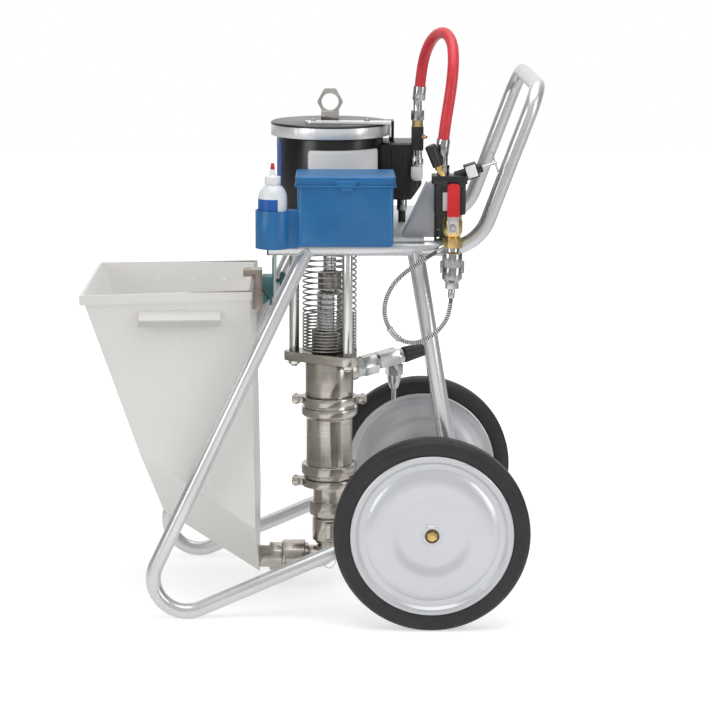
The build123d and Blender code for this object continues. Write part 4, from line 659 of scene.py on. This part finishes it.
# ------------------------------------------------------------------ Geometry Nodes
class Recipe:
    """A Geometry Nodes tree, built node by node, with named inputs."""

    def __init__(self, name, **inputs):
        self.tree = bpy.data.node_groups.new(name, "GeometryNodeTree")
        self.tree.is_modifier = True
        self.face = self.tree.interface
        self.face.new_socket("Geometry", in_out="INPUT", socket_type="NodeSocketGeometry")
        for label, value in inputs.items():
            kind = "NodeSocketMaterial" if value is None else "NodeSocketFloat"
            socket = self.face.new_socket(label, in_out="INPUT", socket_type=kind)
            if value is not None:
                socket.default_value = value
        self.face.new_socket("Geometry", in_out="OUTPUT", socket_type="NodeSocketGeometry")
        self.entry = self.tree.nodes.new("NodeGroupInput")
        self.exit = self.tree.nodes.new("NodeGroupOutput")

    def add(self, kind, *links, **values):
        """A node, its settings, and links given as (input, source or value)."""
        node = self.tree.nodes.new(kind)
        for key, value in values.items():
            setattr(node, key, value)
        for target, source in links:
            if isinstance(source, bpy.types.NodeSocket):
                self.tree.links.new(source, node.inputs[target])
            else:
                node.inputs[target].default_value = source
        return node

    def given(self, label):
        return self.entry.outputs[label]

    def size(self, height):
        """The given radius across, and a height along Z."""
        across = self.given("Radius")
        return self.add("ShaderNodeCombineXYZ", ("X", across), ("Y", across), ("Z", height)).outputs[0]

    def facing(self):
        """The heading kept on each point."""
        node = self.add("GeometryNodeInputNamedAttribute", ("Name", "facing"), data_type="FLOAT_VECTOR")
        return node.outputs[0]

    def tangent(self):
        return self.add("GeometryNodeInputTangent").outputs[0]

    def followed(self):
        """Points along the piece's edges at the given pitch."""
        line = self.add("GeometryNodeMeshToCurve", ("Mesh", self.given("Geometry")))
        even = self.add(
            "GeometryNodeResampleCurve",
            ("Curve", line.outputs[0]),
            ("Length", self.given("Pitch")),
            mode="LENGTH",
        )
        return even.outputs[0]

    def stand(self, points, instance, heading, size=None):
        """Stands an instance on every point with its Z along a heading, and closes the tree."""
        turned = self.add("FunctionNodeAlignRotationToVector", ("Vector", heading), axis="Z")
        links = [("Points", points), ("Instance", instance), ("Rotation", turned.outputs[0])]
        if size is not None:
            links.append(("Scale", size))
        self.close(self.add("GeometryNodeInstanceOnPoints", *links).outputs[0])

    def close(self, instances):
        """Realizes the instances, smooths them and gives them the material."""
        real = self.add("GeometryNodeRealizeInstances", ("Geometry", instances))
        smooth = self.add("GeometryNodeSetShadeSmooth", ("Geometry", real.outputs[0]))
        coloured = self.add(
            "GeometryNodeSetMaterial",
            ("Geometry", smooth.outputs[0]),
            ("Material", self.given("Material")),
        )
        self.tree.links.new(coloured.outputs[0], self.exit.inputs[0])

    def apply(self, source, name, finish, body, slot, **values):
        """Runs the tree on a piece, keeps the result as a plain mesh and drops the source."""
        modifier = source.modifiers.new(name, "NODES")
        modifier.node_group = self.tree
        values["Material"] = finish.material
        for item in self.face.items_tree:
            if item.in_out == "INPUT" and item.name in values:
                modifier[item.identifier] = values[item.name]
        bpy.context.view_layer.update()
        graph = bpy.context.evaluated_depsgraph_get()
        mesh = bpy.data.meshes.new_from_object(source.evaluated_get(graph), depsgraph=graph)
        mesh.name = name
        piece = new_object(name, mesh)
        source.modifiers.remove(modifier)
        bpy.data.objects.remove(source)
        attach(piece, body)
        return piece


def stud_recipe():
    """A low dome stands on each point, along that point's normal."""
    recipe = Recipe("studs", Radius=0.002, Height=0.001, Material=None)
    dome = recipe.add("GeometryNodeMeshUVSphere", ("Radius", 1.0), ("Segments", 20), ("Rings", 10))
    size = recipe.size(recipe.given("Height"))
    recipe.stand(recipe.given("Geometry"), dome.outputs["Mesh"], recipe.facing(), size)
    return recipe


def hex_recipe():
    """A hexagon head on a washer stands on each point, along that point's normal."""
    recipe = Recipe("hex_heads", Radius=0.004, Height=0.003, Material=None)
    head = recipe.add("GeometryNodeMeshCylinder", ("Vertices", 6), ("Radius", 1.0), ("Depth", 1.0))
    washer = recipe.add("GeometryNodeMeshCylinder", ("Vertices", 24), ("Radius", 1.35), ("Depth", 0.3))
    raised = recipe.add("GeometryNodeTransform", ("Geometry", head.outputs[0]), ("Translation", (0, 0, 0.6)))
    both = recipe.add("GeometryNodeJoinGeometry")
    recipe.tree.links.new(raised.outputs[0], both.inputs[0])
    recipe.tree.links.new(washer.outputs[0], both.inputs[0])
    size = recipe.size(recipe.given("Height"))
    recipe.stand(recipe.given("Geometry"), both.outputs[0], recipe.facing(), size)
    return recipe


def bead_recipe():
    """Lens-shaped ripples follow a closed path, each overlapping the last, as a weld's do."""
    recipe = Recipe("weld_bead", Radius=0.0022, Pitch=0.0016, Material=None)
    even = recipe.followed()
    lens = recipe.add("GeometryNodeMeshUVSphere", ("Radius", 1.0), ("Segments", 10), ("Rings", 6))
    thin = recipe.add("ShaderNodeMath", (0, recipe.given("Radius")), (1, 0.75), operation="MULTIPLY")
    recipe.stand(even, lens.outputs["Mesh"], recipe.tangent(), recipe.size(thin.outputs[0]))
    return recipe


def wrap_recipe():
    """Round wire rings stand across a path at an even pitch."""
    recipe = Recipe("wire_wrap", Ring=0.004, Wire=0.0006, Pitch=0.0022, Material=None)
    even = recipe.followed()
    circle = "GeometryNodeCurvePrimitiveCircle"
    ring = recipe.add(circle, ("Resolution", 16), ("Radius", recipe.given("Ring")))
    wire = recipe.add(circle, ("Resolution", 6), ("Radius", recipe.given("Wire")))
    torus = recipe.add(
        "GeometryNodeCurveToMesh", ("Curve", ring.outputs[0]), ("Profile Curve", wire.outputs[0])
    )
    recipe.stand(even, torus.outputs[0], recipe.tangent())
    return recipe


def points_piece(places):
    """Loose points, each with the way it faces, for a recipe to stand things on."""
    mesh = bpy.data.meshes.new("points")
    mesh.from_pydata([place for place, facing in places], [], [])
    facings = mesh.attributes.new("facing", "FLOAT_VECTOR", "POINT")
    for index, (place, facing) in enumerate(places):
        facings.data[index].vector = Vector(facing).normalized()
    return new_object("points", mesh)


def path_piece(*paths, closed=True):
    """Edges along one or more paths, for a recipe to follow."""
    verts, edges = [], []
    for path in paths:
        start, count = len(verts), len(path)
        verts += [tuple(place) for place in path]
        edges += [(start + i, start + (i + 1) % count) for i in range(count if closed else count - 1)]
    mesh = bpy.data.meshes.new("paths")
    mesh.from_pydata(verts, edges, [])
    return new_object("paths", mesh)


# ------------------------------------------------------------------ cords
HOSE_ROUTE = [
    (0.2270, -0.050, 1.1024), (0.2297, -0.052, 1.1359), (0.2378, -0.075, 1.1791),
    (0.2524, -0.115, 1.2115), (0.2724, -0.170, 1.2241), (0.2857, -0.215, 1.2047),
    (0.2870, -0.250, 1.1709), (0.2830, -0.268, 1.1283), (0.2770, -0.275, 1.0868),
    (0.2708, -0.276, 1.0487), (0.2672, -0.275, 1.0145),
]
CABLE_ROUTE = [
    (0.2855, -0.285, 0.6918), (0.2837, -0.287, 0.6633), (0.2696, -0.290, 0.6348),
    (0.2474, -0.292, 0.6144), (0.2169, -0.293, 0.5990), (0.1863, -0.293, 0.6030),
    (0.1638, -0.293, 0.6227), (0.1503, -0.293, 0.6516), (0.1501, -0.292, 0.6825),
    (0.1631, -0.292, 0.7155), (0.1852, -0.291, 0.7402), (0.2134, -0.290, 0.7606),
    (0.2370, -0.288, 0.7758), (0.2550, -0.286, 0.7870),
]
HOSE_DIAMETER = 0.023
CABLE_DIAMETER = 0.008
WRAPPED = (0.012, 0.372)  # stretches of the cable, measured from its beginning
SLEEVED = (0.160, 0.192)


def make_cord(name, route, diameter, node, finish, with_pieces=()):
    """One smooth curve through a route's control points, as thick as the cord."""
    data = bpy.data.curves.new(name, "CURVE")
    data.dimensions = "3D"
    spline = data.splines.new("NURBS")
    spline.points.add(len(route) - 1)
    for point, place in zip(spline.points, route):
        point.co = (*place, 1)
    spline.order_u = 3
    spline.use_endpoint_u = True
    spline.resolution_u = 10
    data.materials.append(finish.material)
    cord = new_object(name, data)
    line = bpy.data.meshes.new_from_object(cord)
    path = [vert.co.copy() for vert in line.vertices]
    bpy.data.meshes.remove(line)
    data.bevel_depth = diameter / 2
    data.bevel_resolution = 6
    data.use_fill_caps = True
    extras = [make(path) for make in with_pieces]
    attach(cord, "cart")
    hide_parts(node)
    return cord


def stretch_of(path, start, end, step=0.001):
    """Points along a path between two distances from its beginning."""
    found, run = [], 0.0
    target = start
    for before, after in zip(path, path[1:]):
        length = (after - before).length
        while target <= run + length and target <= end:
            found.append(before.lerp(after, (target - run) / length))
            target += step
        run += length
    return found


def cable_wrap(path):
    source = path_piece(stretch_of(path, *WRAPPED, 0.002), closed=False)
    return wrap_recipe().apply(
        source, "cable_wrap", bright_wire, "cart", "cable_steel", Ring=0.0046, Wire=0.0011, Pitch=0.0044
    )


def cable_sleeve(path):
    """Crimped sleeve and stop where the cable's loop is closed."""
    run = stretch_of(path, *SLEEVED)
    radii = []
    for index in range(len(run)):
        share = index / (len(run) - 1)
        radii.append(0.0072 if share < 0.12 or share > 0.88 else 0.0060)
    verts, faces = swept(run, radii, 16)
    return mesh_piece("cable_sleeve", verts, faces, bright_plate, "cart")


# ------------------------------------------------------------------ small fittings
def make_toolbox_rivets():
    """Rivets in the front of the toolbox, one near each end."""
    front, height = -0.3230, 0.9165
    places = [((x, front, height), (0, -1, 0)) for x in (0.0069, 0.1347)]
    stud_recipe().apply(
        points_piece(places), "toolbox_rivets", blue_moulding, "cart", "blue_plastic",
        Radius=0.0024, Height=0.0014,
    )


def make_lid_bead():
    """Rolled bead round the front and the ends of the toolbox lid, just above its lower edge."""
    low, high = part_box("toolbox_lid")
    back, height, steps = high[1] - 0.006, low[2] + 0.0030, 24
    corners = ((low[0], back), (low[0], low[1]), (high[0], low[1]), (high[0], back))
    path = []
    for (x0, y0), (x1, y1) in zip(corners, corners[1:]):
        for step in range(steps):
            share = step / steps
            path.append((x0 + (x1 - x0) * share, y0 + (y1 - y0) * share, height))
    path.append((*corners[-1], height))
    verts, faces = swept(path, [0.0014] * len(path), 12)
    mesh_piece("lid_bead", verts, faces, blue_moulding, "toolbox_lid")


def make_cover_screws():
    """Screws in the strap over the motor's cover."""
    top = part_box("cover_band")[1][2]
    places = [((x, -0.062, top), (0, 0, 1)) for x in (0.116, 0.004)]
    hex_recipe().apply(
        points_piece(places), "cover_screws", bright_plate, "cart", "plated_steel",
        Radius=0.0045, Height=0.004,
    )


PULL_SPOTS = (-0.3405, -0.2645, -0.1968)


WALL_OUT = 0.2245
WALL_START = 0.004
WALL_TAPER = 0.065
SHEET_THICK = 0.002


def hopper_wall(x):
    """How far the hopper's side wall stands from the middle plane."""
    front_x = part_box("hopper_shell")[0][0] + WALL_START
    return WALL_OUT - WALL_TAPER * (x - front_x)


def make_hopper_welds():
    """Weld spots over both pulls, outside and inside the side walls."""
    outside, inside = 0.6555, 0.6480
    places = []
    for side in (-1, 1):
        for x in PULL_SPOTS:
            out = hopper_wall(x)
            places.append(((x, side * out, outside), (WALL_TAPER, side, 0)))
            places.append(((x, side * (out - SHEET_THICK), inside), (-WALL_TAPER, -side, 0)))
    stud_recipe().apply(
        points_piece(places), "hopper_welds", sheet_stainless, "cart", "stainless_sheet",
        Radius=0.0042, Height=0.0012,
    )


def cut_round(joint, heading, rail_heading, count=72):
    """The closed line where a frame tube meets the outside of another whose axis passes the same point."""
    heading, rail_heading = Vector(heading).normalized(), Vector(rail_heading).normalized()
    first, second = squared(heading)
    line = []
    for step in range(count):
        angle = 2 * math.pi * step / count
        start = Vector(joint) + (first * math.cos(angle) + second * math.sin(angle)) * TUBE_R
        offset = start - Vector(joint)
        across = offset - rail_heading * offset.dot(rail_heading)
        travel = heading - rail_heading * heading.dot(rail_heading)
        a, b = travel.dot(travel), 2 * across.dot(travel)
        c = across.dot(across) - TUBE_R ** 2
        root = math.sqrt(max(b * b - 4 * a * c, 0))
        line.append(start + heading * ((-b + root) / (2 * a)))
    return line


LEG_TOP = 0.2575
REAR_LEG_TOP = 0.036
REAR_LEG_FOOT = 0.055
FOOT_AHEAD = 0.510
FOOT_BEND = 0.070
AXLE_TUBE_R = 0.0127
AXLE_BITE = 0.0015


def make_weld_beads():
    """Weld beads where the legs meet the rails, and where the rear legs meet the lower tubes."""
    foot = Vector((AXLE.x - FOOT_AHEAD, 0, TUBE_R + FOOT_BEND))
    leg_top = Vector((AXLE.x - LEG_TOP, 0, RAIL.z))
    over = TUBE_R + AXLE_TUBE_R - AXLE_BITE
    slope = math.atan2(AXLE.z - foot.z, AXLE.x - foot.x)
    slope += math.asin((FOOT_BEND + over) / math.hypot(AXLE.x - foot.x, AXLE.z - foot.z))
    leg_slope = math.atan2(leg_top.z - foot.z, leg_top.x - foot.x)
    leg_slope -= math.asin(FOOT_BEND / math.hypot(leg_top.x - foot.x, leg_top.z - foot.z))
    start = Vector((foot.x + FOOT_BEND * math.sin(slope), 0, foot.z - FOOT_BEND * math.cos(slope)))
    rear_foot_x = AXLE.x + REAR_LEG_FOOT
    rear_foot = Vector((rear_foot_x, 0, start.z + (rear_foot_x - start.x) * math.tan(slope)))
    rear_top = Vector((AXLE.x - REAR_LEG_TOP, 0, RAIL.z))
    lower = Vector((math.cos(slope), 0, math.sin(slope)))
    down = Vector((-math.cos(leg_slope), 0, -math.sin(leg_slope)))
    rear = (rear_foot - rear_top).normalized()
    along = Vector((1, 0, 0))
    joints = ((leg_top, down, along), (rear_top, rear, along), (rear_foot, -rear, lower))
    paths = []
    for y in (RAIL.y, -RAIL.y):
        for place, heading, met in joints:
            paths.append(cut_round(place + Vector((0, y, 0)), heading, met))
    bead_recipe().apply(
        path_piece(*paths), "weld_beads", frame_enamel, "cart", "frame_paint", Radius=0.0021, Pitch=0.0017
    )


def make_ring(name, centre, normal, wide, high, wire, body):
    """Oval pull ring of round wire in the plane square to a direction."""
    across, up = squared(normal)
    path = []
    for step in range(48):
        angle = 2 * math.pi * step / 48
        path.append(Vector(centre) + across * math.cos(angle) * wide + up * math.sin(angle) * high)
    verts, faces = swept(path, [wire] * len(path), 8, closed=True)
    return mesh_piece(name, verts, faces, cut_steel, body)


def make_pull_rings():
    """Wire rings through the heads of the intake coupler's two cam arms."""
    for body, side in (("intake_arm_near", -1), ("intake_arm_far", 1)):
        arm_low, arm_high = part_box(body)
        proud = (arm_low[1] if side < 0 else arm_high[1]) + side * 0.0012
        name = body.replace("arm", "ring")
        centre = (0.0390, proud, arm_low[2] - 0.0240)
        make_ring(name, centre, (0.05, side, 0.0), wide=0.0165, high=0.0300, wire=0.0009, body=body)


BOTTLE_PROFILE = (  # radius and height, from the foot up
    (0.0000, 0.7995), (0.0260, 0.7995), (0.0290, 0.8010), (0.0297, 0.8045), (0.0297, 0.8930),
    (0.0292, 0.9010), (0.0275, 0.9080), (0.0245, 0.9140), (0.0205, 0.9190), (0.0165, 0.9225),
    (0.0150, 0.9235), (0.0150, 0.9250), (0.0160, 0.9252), (0.0163, 0.9260), (0.0163, 0.9390),
    (0.0158, 0.9405), (0.0090, 0.9412), (0.0072, 0.9440), (0.0055, 0.9500), (0.0045, 0.9550),
    (0.0045, 0.9552), (0.0050, 0.9554), (0.0046, 0.9580), (0.0034, 0.9660), (0.0028, 0.9674),
    (0.0000, 0.9676),
)


CAP_RIBS = (0.9258, 0.9395)
RIB_DEPTH = 0.0005


def make_bottle():
    """Squeeze bottle with round shoulders, a ribbed cap and a capped nozzle."""
    centre = middle("bottle")
    sides = 64
    verts, faces = [], []
    rings = []
    for radius, height in BOTTLE_PROFILE:
        if radius == 0:
            rings.append([len(verts)])
            verts.append((centre.x, centre.y, height))
            continue
        rings.append(list(range(len(verts), len(verts) + sides)))
        ribbed = CAP_RIBS[0] < height < CAP_RIBS[1]
        for step in range(sides):
            angle = 2 * math.pi * step / sides
            reach = radius - (RIB_DEPTH if ribbed and step % 2 else 0)
            verts.append((centre.x + reach * math.cos(angle), centre.y + reach * math.sin(angle), height))
    for lower, upper in zip(rings, rings[1:]):
        for step in range(sides):
            after = (step + 1) % sides
            if len(lower) == 1:
                faces.append((lower[0], upper[after], upper[step]))
            elif len(upper) == 1:
                faces.append((lower[step], lower[after], upper[0]))
            else:
                faces.append((lower[step], lower[after], upper[after], upper[step]))
    piece = mesh_piece("squeeze_bottle", verts, faces, bottle_plastic, "bottle")
    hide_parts("bottle")


def make_sight_window():
    """Milky window let into the regulator's front."""
    low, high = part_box("regulator_body")
    face = low[1]
    x0, x1, z0, z1 = low[0] + 0.0162, low[0] + 0.0288, 0.8722, 0.9098
    corner = 0.002
    outline = []
    corners = (
        (x1 - corner, z1 - corner, 0),
        (x0 + corner, z1 - corner, 90),
        (x0 + corner, z0 + corner, 180),
        (x1 - corner, z0 + corner, 270),
    )
    for cx, cz, turn in corners:
        for step in range(6):
            angle = math.radians(turn + step * 18)
            outline.append((cx + corner * math.cos(angle), cz + corner * math.sin(angle)))
    count = len(outline)
    middle_x, middle_z = (x0 + x1) / 2, (z0 + z1) / 2
    verts = []
    for depth, shrink in ((0.0018, 1.0), (0.0004, 1.0), (0.0, 0.94)):
        for x, z in outline:
            wide, high = (x - middle_x) * shrink, (z - middle_z) * shrink
            verts.append((middle_x + wide, face + depth, middle_z + high))
    faces = []
    for layer in range(2):
        for step in range(count):
            a, b = layer * count + step, layer * count + (step + 1) % count
            faces.append((a, b, b + count, a + count))
    faces.append(tuple(range(2 * count, 3 * count)))
    faces.append(tuple(range(count - 1, -1, -1)))
    mesh_piece("sight_window", verts, faces, window_milky, "cart", smooth=False)


def make_plates():
    """Two bare plates on the motor's barrel: a white one in front and a blue one at the hopper end."""
    wrapped_plate("white_plate", -24, 63, 0.885, 0.972, plain_white)
    wrapped_plate("blue_plate", -150, -64, 0.860, 0.988, plain_blue)


# ------------------------------------------------------------------ stage
FLOOR_REACH = 9.0


def lamp_path(tree, *rays):
    """One for the named kinds of ray, nought for the rest."""
    paths = tree.nodes.new("ShaderNodeLightPath")
    total = None
    for ray in rays:
        if total is None:
            total = paths.outputs[ray]
            continue
        both = tree.nodes.new("ShaderNodeMath")
        both.operation = "MAXIMUM"
        tree.links.new(total, both.inputs[0])
        tree.links.new(paths.outputs[ray], both.inputs[1])
        total = both.outputs[0]
    return total


def place_of(tree):
    """Distance to either side of the middle, and Y."""
    parts = tree.nodes.new("ShaderNodeSeparateXYZ")
    tree.links.new(tree.nodes.new("ShaderNodeTexCoord").outputs["Object"], parts.inputs[0])
    sideways = tree.nodes.new("ShaderNodeMath")
    sideways.operation = "ABSOLUTE"
    tree.links.new(parts.outputs["X"], sideways.inputs[0])
    return sideways.outputs[0], parts.outputs["Y"]


def by_ray(tree, eye, mirror, rest):
    """One strength for the eye, one for what metal and clear plastic show, and one for the rest."""
    seen = lamp_path(tree, "Is Camera Ray")
    mirrored = lamp_path(tree, "Is Glossy Ray", "Is Transmission Ray")
    return spread(tree, seen, 0.0, 1.0, spread(tree, mirrored, 0.0, 1.0, rest, mirror), eye)


def make_floor():
    """White floor that keeps a soft shadow; seen directly or in metal it glows up to white."""
    mesh = bpy.data.meshes.new("floor")
    far = FLOOR_REACH
    mesh.from_pydata([(-far, -far, 0), (far, -far, 0), (far, far, 0), (-far, far, 0)], [], [(0, 1, 2, 3)])
    new_object("floor", mesh)
    ground = Finish("floor_white", (0.80, 0.80, 0.80), 0.7, Specular_IOR_Level=0.1)
    reach = ground.add("ShaderNodeVectorMath", operation="LENGTH")
    ground.link(ground.place, reach.inputs[0])
    eye = ground.band(reach.outputs["Value"], 0.8, 2.4, 0.50, 0.86)
    mirror = ground.band(place_of(ground.tree)[0], 0.5, 1.6, 0.42, 0.0)
    glow = ground.add("ShaderNodeEmission")
    ground.link(by_ray(ground.tree, eye, mirror, 0.0), glow.inputs["Strength"])
    both = ground.add("ShaderNodeAddShader")
    ground.link(ground.shader.outputs[0], both.inputs[0])
    ground.link(glow.outputs[0], both.inputs[1])
    ground.link(both.outputs[0], ground.tree.nodes["Material Output"].inputs["Surface"])
    mesh.materials.append(ground.material)


def make_surroundings():
    """White all round to the eye; in metal, white behind the cart and dimmer in front of it."""
    world = bpy.data.worlds.new("surroundings")
    bpy.context.scene.world = world
    world.use_nodes = True
    tree = world.node_tree
    sky = tree.nodes["Background"]
    sky.inputs["Color"].default_value = (1, 1, 1, 1)
    sideways, depth = place_of(tree)
    ahead = spread(tree, depth, -0.6, 0.4, 0.62, 1.0)
    mirror = spread(tree, sideways, 0.35, 0.85, ahead, 0.22)
    eye, rest = 1.0, 0.42
    tree.links.new(by_ray(tree, eye, mirror, rest), sky.inputs["Strength"])


def softbox(name, place, aim, width, height, power):
    data = bpy.data.lights.new(name, "AREA")
    data.shape = "RECTANGLE"
    data.size = width
    data.size_y = height
    data.energy = power
    lamp = new_object(name, data)
    lamp.location = place
    lamp.rotation_mode = "QUATERNION"
    lamp.rotation_quaternion = (Vector(aim) - Vector(place)).to_track_quat("-Z", "Y")


def make_stage():
    bpy.context.scene.view_settings.view_transform = "Standard"
    make_floor()
    make_surroundings()
    softbox("top_light", (0.1, -0.4, 3.6), (0, 0, 0.6), 3.2, 3.2, 62)
    softbox("left_light", (-3.4, -2.6, 1.9), (0, 0, 0.6), 1.6, 2.6, 44)
    softbox("right_light", (3.2, -2.2, 1.6), (0, 0, 0.6), 1.4, 2.6, 34)


make_camera()
make_cord("hose", HOSE_ROUTE, HOSE_DIAMETER, "air_hose", hose_rubber)
make_cord(
    "cable", CABLE_ROUTE, CABLE_DIAMETER, "safety_cable", cable_steel,
    (cable_wrap, cable_sleeve),
)
make_stage()
dress_nodes()
make_bottle()
make_toolbox_rivets()
make_lid_bead()
make_cover_screws()
make_hopper_welds()
make_weld_beads()
make_pull_rings()
make_sight_window()
make_plates()
